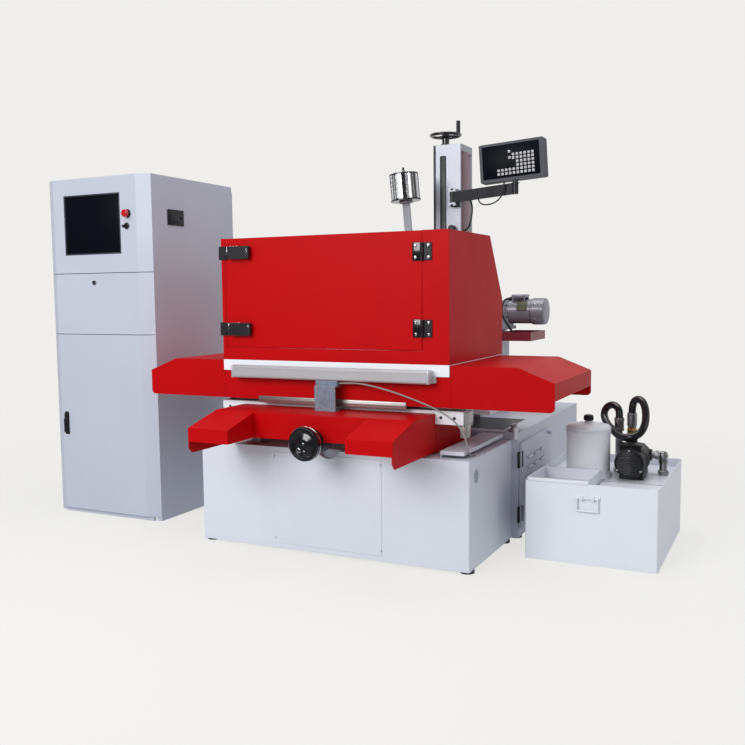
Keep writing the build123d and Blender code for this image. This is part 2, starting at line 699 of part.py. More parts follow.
with BuildPart() as z_handwheel:
    with Locations((*z_screw, z_wheel_z)):
        Torus(z_wheel_radius - z_rim_radius, z_rim_radius)
    rod((*z_screw, mast_top + free), (*z_screw, z_wheel_z + 12), 19)
    for angle in (35, 155, 275):
        direction = Vector(1, 0, 0).rotate(Axis.Z, angle)
        reach = direction * (z_wheel_radius - z_rim_radius)
        rod((*z_screw, z_wheel_z - 2), (z_screw[0] + reach.X, z_screw[1] + reach.Y, z_wheel_z - 2), 6)
    grip = (z_screw[0] + z_wheel_radius - 14, z_screw[1])
    rod((*grip, z_wheel_z), (*grip, z_wheel_z + 70), 9)
    rod((*z_screw, cast_top + mast_wall + free), (*z_screw, mast_top + free), z_screw_radius)
pieces["z_handwheel"] = z_handwheel

# ---- Wire drum unit
with BuildPart() as drum_base:
    block((-60, 355), (drum_axis[0] - 105, drum_axis[0] + 120), (cast_top, drum_base_top))
    for y in (drum_axis[0] - 80, drum_axis[0] + 80):
        block((-60, 355), (y - 12, y + 12), (drum_base_top, carriage_z[0] + 6))
pieces["drum_base"] = drum_base

with BuildPart() as drum_tray:
    block(tray_x, tray_y, tray_z)
    block((tray_x[0] + sheet, tray_x[1] - sheet), (tray_y[0] + sheet, tray_y[1] - sheet),
          (tray_z[0] + sheet, tray_z[1]), Mode.SUBTRACT)
    block((355, tray_x[0] + 1), (drum_axis[0] - 60, drum_axis[0] + 60), (tray_z[0] + 1, tray_z[0] + 6))
pieces["drum_tray"] = drum_tray

with BuildPart() as drum_carriage:
    block((60, bracket_x[1]), (drum_axis[0] - 100, drum_axis[0] + 100), carriage_z)
    for y in (drum_axis[0] - 80, drum_axis[0] + 80):
        block((60, bracket_x[1]), (y - 12 - run, y + 12 + run), (carriage_z[0], carriage_z[0] + 6 + run),
              Mode.SUBTRACT)
    for x in ((75, 95), bracket_x):
        block(x, (drum_axis[0] - 55, drum_axis[0] + 55), (carriage_z[0] + 8, drum_axis[1] + 20))
        rod((x[0], *drum_axis), (x[1], *drum_axis), 62)
        rod((x[0], *drum_axis), (x[1], *drum_axis), shaft_radius + run, Mode.SUBTRACT)
pieces["drum_carriage"] = drum_carriage

with BuildPart() as drum_motor:
    rod((motor_x[0], *drum_axis), (cowl_x, *drum_axis), motor_radius)
    rod((cowl_x, *drum_axis), (motor_x[1], *drum_axis), cowl_radius)
    fillet(drum_motor.edges().filter_by(GeomType.CIRCLE).sort_by(Axis.X)[-1], 10)
    block((motor_x[0] + 22, motor_x[0] + 92), (drum_axis[0] - 48, drum_axis[0] + 28),
          (drum_axis[1] + 50, drum_axis[1] + 88))
    rod((motor_x[0], *drum_axis), (motor_x[0] + 8, *drum_axis), shaft_radius + 1, Mode.SUBTRACT)
    rod((motor_x[0] + 6, drum_axis[0] - 22, drum_axis[1] + 68),
        (motor_x[0] + 22, drum_axis[0] - 22, drum_axis[1] + 68), 8)
pieces["drum_motor"] = drum_motor

with BuildPart() as wire_drum:
    rod((drum_x[0], *drum_axis), (drum_x[1], *drum_axis), drum_radius)
    for x in (drum_x[0], drum_x[1] - 8):
        rod((x, *drum_axis), (x + 8, *drum_axis), drum_radius + 3)
    rod((68, *drum_axis), (bracket_x[1] + 6, *drum_axis), shaft_radius)
pieces["wire_drum"] = wire_drum

# ---- Readout
with BuildPart() as dro_arm:
    along = Vector(stem_x - pivot_x, stem_y - pivot_y, 0)
    across = Vector(along.Y, -along.X, 0).normalized()
    bar_side = Plane(origin=Vector(pivot_x, pivot_y, 0) - across * (bar_thick / 2),
                     x_dir=along, z_dir=across)
    prism(bar_side, [(0, bar_z[0]), (along.length, bar_z[0] + bar_rise),
                     (along.length, bar_z[1] + bar_rise), (0, bar_z[1])], bar_thick)
    rod((pivot_x, pivot_y, bar_z[0]), (pivot_x, pivot_y, bar_z[1]), 15)
    rod((stem_x, stem_y, bar_z[0] + bar_rise), (stem_x, stem_y, bar_z[1] + bar_rise), 15)
    block((pivot_x - 30, pivot_x + 30), (pivot_y - 30, pivot_y + 30), (bar_z[1], bar_z[1] + 40),
          Mode.SUBTRACT)
    rod((pivot_x, pivot_y, bar_z[0]), (pivot_x, pivot_y, bar_z[1]), pivot_radius + run, Mode.SUBTRACT)
    rod((stem_x, stem_y, bar_z[1] + bar_rise), (stem_x, stem_y, readout_z[0] + 30), pivot_radius)
pieces["dro_arm"] = dro_arm

with BuildPart() as readout_case:
    block(readout_x, readout_y, readout_z)
    fillet(readout_case.edges().filter_by(Axis.Y), 9)
with BuildPart() as dro_display:
    add(readout_case.part.rotate(Axis((stem_x, stem_y, readout_z[0]), (0, 1, 0)), -readout_roll))
    rod((stem_x, stem_y, readout_z[0] - 11), (stem_x, stem_y, readout_z[0] + 3), 13.5)
    rod((stem_x, stem_y, readout_z[0] - 11), (stem_x, stem_y, readout_z[0] + 31),
        pivot_radius + run, Mode.SUBTRACT)
pieces["dro_display"] = dro_display


# ---- Control cabinet
def cabinet_front(z):
    """A front panel across the cabinet, with its two bevelled edges."""
    low, high = cab_x
    back = cab_y[0] + cab_front
    prism(Plane.XY.offset(z[0]),
          [(low, back), (low + cab_bevel_left, cab_y[0]), (high - cab_bevel, cab_y[0]), (high, back)],
          z[1] - z[0])


with BuildPart() as cabinet_shell:
    block(cab_x, (cab_y[0] + cab_front, cab_y[1]), (0, cab_top))
    walls = (cab_x[0] + cab_wall, cab_x[1] - cab_wall)
    depth = (cab_y[0] + cab_front, cab_y[1] - cab_wall)
    block(walls, depth, (cab_low + cab_wall, desk_z - 8), Mode.SUBTRACT)
    block(walls, depth, (desk_z, head_z - 4), Mode.SUBTRACT)
    block(walls, depth, (head_z, cab_top - cab_wall), Mode.SUBTRACT)
    block((cab_x[0] + 30, cab_x[1] - 30), (cab_y[0] + cab_front, cab_y[1] - 30), (0, cab_low),
          Mode.SUBTRACT)
    block((cab_x[0] + 12, cab_x[1] - 12), (cab_y[1], cab_y[1] + cab_back), (cab_low, cab_top - 26))
    block((cab_x[0] + 40, cab_x[1] - 40), (cab_y[0] + cab_front - 14, cab_y[0] + cab_front), (0, cab_low))
pieces["cabinet_shell"] = cabinet_shell

with BuildPart() as cabinet_bezel:
    cabinet_front((head_z + seam / 2, cab_top))
    block(screen_x, (cab_y[0], cab_y[0] + cab_front), screen_z, Mode.SUBTRACT)
    rod((stop_x, cab_y[0], stop_z), (stop_x, cab_y[0] + cab_front, stop_z), stop_stem + run, Mode.SUBTRACT)
    rod((key_x, cab_y[0], key_z), (key_x, cab_y[0] + cab_front, key_z), key_stem + run, Mode.SUBTRACT)
pieces["cabinet_bezel"] = cabinet_bezel

with BuildPart() as monitor:
    block((screen_x[0] + 0.5, screen_x[1] - 0.5), (cab_y[0] + 8, cab_y[0] + cab_front),
          (screen_z[0] + 0.5, screen_z[1] - 0.5))
    block((screen_x[0] - 18, screen_x[1] + 12), (cab_y[0] + cab_front, cab_y[0] + cab_front + 45),
          (screen_z[0] - 20, screen_z[1] + 20))
pieces["monitor"] = monitor

with BuildPart() as keyboard_flap:
    cabinet_front((desk_z + seam / 2, head_z - seam / 2))
    rod((-1430, cab_y[0] - 4, 1218), (-1430, cab_y[0], 1218), 13)
pieces["keyboard_flap"] = keyboard_flap

with BuildPart() as keyboard:
    prism(side_plane(-1620), [(250, desk_z), (410, desk_z), (410, desk_z + 34), (250, desk_z + 20)], 440)
    for row in range(5):
        for column_x in range(14):
            x = -1604 + column_x * 29.5
            y = 266 + row * 26
            block((x, x + 24), (y, y + 20), (desk_z + 18, desk_z + 33 + row * 2))
pieces["keyboard"] = keyboard

with BuildPart() as control_rack:
    back = cab_y[1] - cab_wall
    block((-1690, -1094), (back - 12, back), (60, 900))
    for z in (120, 330, 540, 740):
        block((-1660, -1124), (back - 230, back - 12), (z, z + 130))
    block((-1680, -1104), (back - 420, back - 240), (cab_low + cab_wall, cab_low + cab_wall + 180))
pieces["control_rack"] = control_rack

with BuildPart() as cabinet_door:
    cabinet_front((cab_low + 2, desk_z - seam / 2))
    block((cab_x[0] + cab_bevel, cab_x[1] - cab_bevel), (cab_y[0] + cab_wall, cab_y[0] + cab_front),
          (cab_low + 40, desk_z - 40), Mode.SUBTRACT)
pieces["cabinet_door"] = cabinet_door

with BuildPart() as door_handle:
    block((handle_x - 11, handle_x + 11), (cab_y[0] - 10, cab_y[0] - 0.3), handle_z)
    fillet(door_handle.edges().filter_by(Axis.Y), 8)
    block((handle_x - 8, handle_x + 8), (cab_y[0] - 20, cab_y[0] - 9), (handle_z[0] + 6, handle_z[1] - 30))
    fillet(door_handle.edges().group_by(Axis.Y)[0], 3)
pieces["door_handle"] = door_handle

with BuildPart() as estop_button:
    rod((stop_x, cab_y[0] - 28, stop_z), (stop_x, cab_y[0] - 14, stop_z), 19)
    fillet(estop_button.edges().group_by(Axis.Y)[0], 5)
    rod((stop_x, cab_y[0] - 14, stop_z), (stop_x, cab_y[0] + cab_front - 2, stop_z), stop_stem)
pieces["estop_button"] = estop_button

with BuildPart() as key_switch:
    rod((key_x, cab_y[0] - 8, key_z), (key_x, cab_y[0] - 0.3, key_z), 13)
    rod((key_x, cab_y[0] - 0.3, key_z), (key_x, cab_y[0] + cab_front - 2, key_z), key_stem)
    block((key_x - 1.5, key_x + 1.5), (cab_y[0] - 34, cab_y[0] - 8), (key_z - 10, key_z + 4))
pieces["key_switch"] = key_switch

# ---- Coolant unit
with BuildPart() as tank:
    block(tank_x, tank_y, (0, tank_top))
    fillet(tank.edges().filter_by(Axis.Z), 8)
    block((tank_x[0] + sheet, tank_x[1] - sheet), (tank_y[0] + sheet, tank_y[1] - sheet),
          (sheet, tank_top), Mode.SUBTRACT)
    # Ledge under the deck
    block((tank_x[0] + 1, tank_x[1] - 1), (tank_y[0] + 1, tank_y[1] - 1), (deck_z - 23, deck_z - 20))
    block((tank_x[0] + 25, tank_x[1] - 25), (tank_y[0] + 25, tank_y[1] - 25),
          (deck_z - 24, deck_z - 19), Mode.SUBTRACT)
    for x in (bail_x[0] + 14, bail_x[1] - 26):
        block((x, x + 12), (tank_y[0] - 16, tank_y[0]), (bail_z[1] - 8, bail_z[1] + 8))
        rod((x, tank_y[0] - 9, bail_z[1]), (x + 12, tank_y[0] - 9, bail_z[1]), bail_radius + run,
            Mode.SUBTRACT)
pieces["tank"] = tank

with BuildPart() as bail_handle:
    corners = [(bail_x[0], bail_z[1]), (bail_x[1], bail_z[1]), (bail_x[1], bail_z[0]), (bail_x[0], bail_z[0])]
    for start, end in zip(corners, corners[1:] + corners[:1]):
        rod((start[0], tank_y[0] - 9, start[1]), (end[0], tank_y[0] - 9, end[1]), bail_radius)
    for x, z in corners:
        with Locations((x, tank_y[0] - 9, z)):
            Sphere(bail_radius)
pieces["bail_handle"] = bail_handle

with BuildPart() as tank_deck:
    block((tank_x[0] + sheet, tank_x[1] - sheet), (tank_y[0] + sheet, tank_y[1] - sheet),
          (deck_z - 20, deck_z))
    block((tank_x[0] + 12, tank_x[1] - 12), (tank_y[0] + 12, tank_y[1] - 12),
          (deck_z - 20, deck_z - sheet), Mode.SUBTRACT)
    block(basin_x, basin_y, (deck_z, tank_top + 12))
    block((basin_x[0] + sheet, basin_x[1] - sheet), (basin_y[0] + sheet, basin_y[1] - sheet),
          (deck_z + sheet, tank_top + 12), Mode.SUBTRACT)
pieces["tank_deck"] = tank_deck

with BuildPart() as filter_housing:
    rod((filter_x, filter_y, deck_z), (filter_x, filter_y, deck_z + 15), filter_radius + 8)
    rod((filter_x, filter_y, deck_z + 15), (filter_x, filter_y, filter_z), filter_radius)
    rod((filter_x, filter_y, deck_z + 18), (filter_x, filter_y, filter_z), filter_radius - sheet,
        Mode.SUBTRACT)
pieces["filter_housing"] = filter_housing

with BuildPart() as filter_lid:
    with BuildSketch(Plane.XZ.offset(-filter_y)):
        with BuildLine():
            Polyline((filter_x, filter_z + 0.3), (filter_x + filter_radius + 3, filter_z + 0.3),
                     (filter_x + filter_radius + 3, filter_z + 12), (filter_x + 72, filter_z + 22),
                     (filter_x + 24, filter_z + 28), (filter_x + 12, filter_z + 40),
                     (filter_x + 20, filter_z + 48), (filter_x + 20, filter_z + 60),
                     (filter_x, filter_z + 67), close=True)
        make_face()
    revolve(axis=Axis((filter_x, filter_y, 0), (0, 0, 1)))
pieces["filter_lid"] = filter_lid

with BuildPart() as pump_motor:
    rod((pump_x, pump_y[0], pump_z), (pump_x, pump_y[1], pump_z), pump_radius)
    fillet(pump_motor.edges().filter_by(GeomType.CIRCLE).sort_by(Axis.Y)[0], 8)
    block((pump_x - 52, pump_x + 52), (pump_y[0] + 60, pump_y[1] - 20), (deck_z, pump_z - 50))
    block((pump_x - 46, pump_x + 46), (pump_y[0] + 40, pump_y[0] + 112), (pump_z + 40, pump_z + 78))
pieces["pump_motor"] = pump_motor

with BuildPart() as pump_head:
    rod((pump_x, pump_y[1], pump_z), (pump_x, head_y[1], pump_z), head_radius)
    block((pump_x - 45, pump_x + 45), head_y, (deck_z, pump_z - 40))
    rod((outlet_x, outlet_y, pump_z), (outlet_x, outlet_y, 486), 26)
    rod((pump_x, outlet_y, pump_z + 10), (suction_joint, outlet_y, pump_z + 10), 26)
pieces["pump_head"] = pump_head

with BuildPart() as coolant_pipes:
    rod((suction_joint, outlet_y, pump_z + 10), (suction_x, outlet_y, pump_z + 10), 16.5)
    rod((suction_x, outlet_y, deck_z), (suction_x, outlet_y, pump_z + 10), 16.5)
    with Locations((suction_x, outlet_y, pump_z + 10)):
        Sphere(22)
    rod((outlet_x, outlet_y, 486), (outlet_x, outlet_y, 524), 19)
    rod((outlet_x, outlet_y, 524), (outlet_x, outlet_y, outlet_top), 21)
    rod((return_x, return_y, deck_z), (return_x, return_y, return_top - 50), 16)
    rod((return_x, return_y, return_top - 50), (return_x, return_y, return_top), 21)
pieces["coolant_pipes"] = coolant_pipes

# ---- Cords
hose_route = [(outlet_x, outlet_y, outlet_top), (outlet_x, outlet_y, 618), (1161, 843, 646),
              (1186, 828, 654), (1209, 808, 634), (1222, 780, 590), (1222, 752, 540),
              (1200, 732, 502), (1157, 720, 488), (1117, 734, 488), (1084, 776, 502),
              (1052, 818, 522), (1024, 856, 546), (1014, 880, 576), (1028, 888, 606),
              (1058, 880, 617), (1084, 861, 603), (1092, 850, 582), (return_x, return_y, return_top)]
with BuildPart() as coolant_hose:
    cord(hose_route, hose_size)
pieces["coolant_hose"] = coolant_hose

scale_route = [(43, 20, 763), (95, 19, 766), (150, 17, 768), (205, 16, 762), (260, 16, 751),
               (315, 16, 738), (370, 17, 722), (425, 20, 704), (480, 26, 683), (532, 34, 658),
               (580, 41, 626), (614, 46, 585), (630, 48, 540), (633, 54, 503), (634, 84, 480),
               (633, 124, 476), (626, 164, 476), (606, 190, 476), (580, 200, 477)]
with BuildPart() as scale_cable:
    cord(scale_route, scale_cable_size)
pieces["scale_cable"] = scale_cable

readout_start = readout_z[0] - 55 * sin(radians(readout_roll)) - 0.5
readout_route = [(505, 938, readout_start), (505, 938, 1663), (499, 938, 1632), (480, 942, 1604),
                 (450, 950, 1588), (417, 960, 1582), (385, 972, 1585), (361, 984, 1597),
                 (353, 994, bar_z[0] + 7)]
with BuildPart() as dro_cable:
    cord(readout_route, readout_cable_size)
pieces["dro_cable"] = dro_cable

motor_route = [(motor_x[0] + 6, drum_axis[0] - 22, drum_axis[1] + 68), (405, 1316, 1111),
               (394, 1292, 1100), (392, 1262, 1072), (398, 1238, 1030), (425, 1222, 988),
               (456, 1218, 950), (470, 1218, 922), (474, 1219, tray_z[0] + sheet + 6)]
with BuildPart() as motor_cable:
    cord(motor_route, motor_cable_size)
pieces["motor_cable"] = motor_cable

column_route = [(mast_x[1], 1110, 1636), (255, 1109, 1634), (274, 1106, 1618), (282, 1103, 1588),
                (280, 1101, 1550), (272, 1100, 1512), (260, 1102, 1480), (mast_x[1], 1108, 1466)]
with BuildPart() as column_cable:
    cord(column_route, column_cable_size)
pieces["column_cable"] = column_cable

# ---- Export, with the origin on the floor below the middle of the whole plan
middle = Vector((cab_x[0] + tank_x[1]) / 2, (cover_front + rear_back) / 2, 0)
os.makedirs("parts", exist_ok=True)
for name, piece in pieces.items():
    placed = piece.part.moved(Location(-middle))
    placed.label = name
    export_step(placed, f"parts/{name}.step")
print(len(pieces), "nodes, origin at", middle)
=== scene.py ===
# %% [markdown]
# This scene dresses a wire-cut spark erosion machine: the machine, its control
# cabinet on the left and its coolant unit on the right. The shapes and sizes come
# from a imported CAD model, which stays exactly where it is. We add what CAD leaves
# plain: screws, keys, ribs, hoses and, above all, paint, steel, rubber and glass.

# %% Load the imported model
import json
import math

import bmesh
import bpy
from mathutils import Matrix, Vector


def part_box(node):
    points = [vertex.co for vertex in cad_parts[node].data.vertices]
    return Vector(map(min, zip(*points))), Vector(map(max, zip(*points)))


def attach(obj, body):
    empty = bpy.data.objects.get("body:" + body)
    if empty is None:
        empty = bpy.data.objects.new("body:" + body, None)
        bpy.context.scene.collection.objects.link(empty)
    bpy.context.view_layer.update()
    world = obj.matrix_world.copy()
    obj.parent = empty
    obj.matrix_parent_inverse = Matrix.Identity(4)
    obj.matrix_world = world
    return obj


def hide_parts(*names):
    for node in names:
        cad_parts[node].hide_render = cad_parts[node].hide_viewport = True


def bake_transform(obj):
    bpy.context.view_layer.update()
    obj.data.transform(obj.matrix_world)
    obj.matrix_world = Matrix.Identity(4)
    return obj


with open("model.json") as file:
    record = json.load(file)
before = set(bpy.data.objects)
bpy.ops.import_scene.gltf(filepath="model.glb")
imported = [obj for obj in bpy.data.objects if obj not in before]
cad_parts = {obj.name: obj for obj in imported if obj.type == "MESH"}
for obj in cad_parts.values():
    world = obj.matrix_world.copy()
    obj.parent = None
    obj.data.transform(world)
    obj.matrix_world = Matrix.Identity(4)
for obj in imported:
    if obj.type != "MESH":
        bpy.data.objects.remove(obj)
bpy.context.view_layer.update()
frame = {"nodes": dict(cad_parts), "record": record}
nodes = frame["nodes"]

# %% [markdown]
# The workshop drawing of the machine counts millimetres from the middle of the bed,
# from the bed's front face and from the floor. One small function turns such a
# place into Blender's metres, so that every number below can be read off a ruler.

# %% Places on the machine
bed_low, bed_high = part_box("bed")
zero = Vector(((bed_low.x + bed_high.x) / 2, bed_low.y, 0.0))


def at(x, y, z):
    """A place on the machine, given in millimetres."""
    return zero + Vector((x, y, z)) / 1000


print("middle of the bed's front edge:", [round(v, 4) for v in at(0, 0, 0)])

# %% [markdown]
# The camera stands well to the right of the machine at chest height and looks
# slightly down and to the left. Its three axes are written out as a matrix.

# %% Camera
camera_data = bpy.data.cameras.new("camera")
camera_data.lens = 42.46
camera_data.sensor_width = 36.0
camera = bpy.data.objects.new("camera", camera_data)
bpy.context.scene.collection.objects.link(camera)
to_right = Vector((0.89889, 0.43807, -0.01112))
to_top = Vector((-0.02937, 0.08556, 0.99591))
turn = Matrix((to_right, to_top, to_right.cross(to_top))).transposed().to_4x4()
camera.matrix_world = Matrix.Translation(at(1839.6, -3291.3, 1147.9)) @ turn
bpy.context.scene.camera = camera
bpy.context.scene.view_settings.view_transform = "Standard"
print("camera at", [round(v, 3) for v in camera.location])

# %% [markdown]
# Paint and metal are never one flat colour. Three small node groups are shared by
# all finishes. The first gives slow stains and a fine grain, the second rounds the
# sharp CAD edges in the shading and marks them as worn, the third stretches a
# noise in one direction, as a grinding wheel or a rolling mill leaves it.


# %% Shared shader groups
def new_group(name, inputs, outputs):
    """An empty shader group with named sockets: (name, kind, starting value)."""
    group = bpy.data.node_groups.new(name, "ShaderNodeTree")
    for title, kind, value in inputs:
        socket = group.interface.new_socket(title, in_out="INPUT", socket_type=kind)
        socket.default_value = value
    for title, kind in outputs:
        group.interface.new_socket(title, in_out="OUTPUT", socket_type=kind)
    enter = group.nodes.new("NodeGroupInput")
    leave = group.nodes.new("NodeGroupOutput")
    return group, group.nodes, group.links, enter, leave


def math_node(tree_nodes, links, operation, first, second, clamp=False):
    """A Math node; each operand is a socket or a number."""
    node = tree_nodes.new("ShaderNodeMath")
    node.operation = operation
    node.use_clamp = clamp
    for socket, value in zip(node.inputs, (first, second)):
        if isinstance(value, bpy.types.NodeSocket):
            links.new(value, socket)
        else:
            socket.default_value = value
    return node.outputs[0]


NUMBER, COLOUR, VECTOR = "NodeSocketFloat", "NodeSocketColor", "NodeSocketVector"

stains, n, link, enter, leave = new_group(
    "stains",
    [("Color", COLOUR, (0.8, 0.8, 0.8, 1)), ("Dark", COLOUR, (0.5, 0.5, 0.5, 1)),
     ("Amount", NUMBER, 0.2), ("Size", NUMBER, 3.0), ("Grain", NUMBER, 600.0),
     ("Roughness", NUMBER, 0.4), ("Spread", NUMBER, 0.1)],
    [("Color", COLOUR), ("Roughness", NUMBER), ("Height", NUMBER)])
place = n.new("ShaderNodeTexCoord").outputs["Object"]
slow = n.new("ShaderNodeTexNoise")
slow.inputs["Detail"].default_value = 5
link.new(place, slow.inputs["Vector"])
link.new(enter.outputs["Size"], slow.inputs["Scale"])
fine = n.new("ShaderNodeTexNoise")
fine.inputs["Detail"].default_value = 2
link.new(place, fine.inputs["Vector"])
link.new(enter.outputs["Grain"], fine.inputs["Scale"])
patch = n.new("ShaderNodeMapRange")
patch.inputs["From Min"].default_value = 0.42
patch.inputs["From Max"].default_value = 0.72
link.new(slow.outputs["Fac"], patch.inputs["Value"])
share = math_node(n, link, "MULTIPLY", patch.outputs[0], enter.outputs["Amount"], True)
mix = n.new("ShaderNodeMix")
mix.data_type = "RGBA"
link.new(share, mix.inputs["Factor"])
link.new(enter.outputs["Color"], mix.inputs["A"])
link.new(enter.outputs["Dark"], mix.inputs["B"])
link.new(mix.outputs["Result"], leave.inputs["Color"])
centred = math_node(n, link, "SUBTRACT", slow.outputs["Fac"], 0.5)
swing = math_node(n, link, "MULTIPLY", centred, enter.outputs["Spread"])
rough = math_node(n, link, "ADD", swing, enter.outputs["Roughness"], True)
link.new(rough, leave.inputs["Roughness"])
link.new(fine.outputs["Fac"], leave.inputs["Height"])

edges, n, link, enter, leave = new_group(
    "soft_edge", [("Color", COLOUR, (0.8, 0.8, 0.8, 1)), ("Worn", COLOUR, (0.9, 0.9, 0.9, 1)),
                  ("Wear", NUMBER, 0.3)],
    [("Color", COLOUR), ("Normal", VECTOR)])
rounded = n.new("ShaderNodeBevel")
rounded.samples = 4
rounded.inputs["Radius"].default_value = 0.0022
flat = n.new("ShaderNodeNewGeometry").outputs["Normal"]
agree = n.new("ShaderNodeVectorMath")
agree.operation = "DOT_PRODUCT"
link.new(rounded.outputs[0], agree.inputs[0])
link.new(flat, agree.inputs[1])
on_edge = n.new("ShaderNodeMapRange")
on_edge.inputs["From Min"].default_value = 0.985
on_edge.inputs["From Max"].default_value = 0.80
link.new(agree.outputs["Value"], on_edge.inputs["Value"])
share = math_node(n, link, "MULTIPLY", on_edge.outputs[0], enter.outputs["Wear"], True)
mix = n.new("ShaderNodeMix")
mix.data_type = "RGBA"
link.new(share, mix.inputs["Factor"])
link.new(enter.outputs["Color"], mix.inputs["A"])
link.new(enter.outputs["Worn"], mix.inputs["B"])
link.new(mix.outputs["Result"], leave.inputs["Color"])
link.new(rounded.outputs[0], leave.inputs["Normal"])

brushing, n, link, enter, leave = new_group(
    "brushing", [("Lines", VECTOR, (400.0, 8.0, 400.0))], [("Height", NUMBER)])
place = n.new("ShaderNodeTexCoord").outputs["Object"]
stretch = n.new("ShaderNodeVectorMath")
stretch.operation = "MULTIPLY"
link.new(place, stretch.inputs[0])
link.new(enter.outputs["Lines"], stretch.inputs[1])
hair = n.new("ShaderNodeTexNoise")
hair.inputs["Scale"].default_value = 1.0
hair.inputs["Detail"].default_value = 3
link.new(stretch.outputs[0], hair.inputs["Vector"])
link.new(hair.outputs["Fac"], leave.inputs["Height"])
print("shader groups:", [g.name for g in bpy.data.node_groups])

# %% [markdown]
# Each finish is one material: a Principled shader whose colour and roughness come
# through the stain group and whose normal is the rounded edge with a little grain.
# Gloss, coat and metal are single numbers, so they are set on the shader itself.


# %% One recipe for every finish
def finish(name, colour, dark, roughness, metal=0.0, amount=0.25, size=3.0, grain=700.0,
           bump=0.03, spread=0.12, coat=0.0, worn=None, wear=0.25, edge=True, lines=None,
           specular=0.5):
    """A painted, metal, rubber or plastic finish."""
    material = bpy.data.materials.new(name)
    material.use_nodes = True
    tree_nodes, links = material.node_tree.nodes, material.node_tree.links
    shader = tree_nodes["Principled BSDF"]
    shader.inputs["Metallic"].default_value = metal
    shader.inputs["Coat Weight"].default_value = coat
    shader.inputs["Coat Roughness"].default_value = 0.12
    shader.inputs["Specular IOR Level"].default_value = specular
    surface = tree_nodes.new("ShaderNodeGroup")
    surface.node_tree = stains
    for title, value in (("Color", (*colour, 1)), ("Dark", (*dark, 1)), ("Amount", amount),
                         ("Size", size), ("Grain", grain), ("Roughness", roughness),
                         ("Spread", spread)):
        surface.inputs[title].default_value = value
    colour_out, height = surface.outputs["Color"], surface.outputs["Height"]
    relief = tree_nodes.new("ShaderNodeBump")
    relief.inputs["Strength"].default_value = bump
    relief.inputs["Distance"].default_value = 0.001
    if edge:
        border = tree_nodes.new("ShaderNodeGroup")
        border.node_tree = edges
        border.inputs["Worn"].default_value = (*(worn or colour), 1)
        border.inputs["Wear"].default_value = wear
        links.new(colour_out, border.inputs["Color"])
        links.new(border.outputs["Normal"], relief.inputs["Normal"])
        colour_out = border.outputs["Color"]
    if lines:
        brushed = tree_nodes.new("ShaderNodeGroup")
        brushed.node_tree = brushing
        brushed.inputs["Lines"].default_value = lines
        height = brushed.outputs["Height"]
    links.new(height, relief.inputs["Height"])
    links.new(colour_out, shader.inputs["Base Color"])
    links.new(surface.outputs["Roughness"], shader.inputs["Roughness"])
    links.new(relief.outputs["Normal"], shader.inputs["Normal"])
    return material


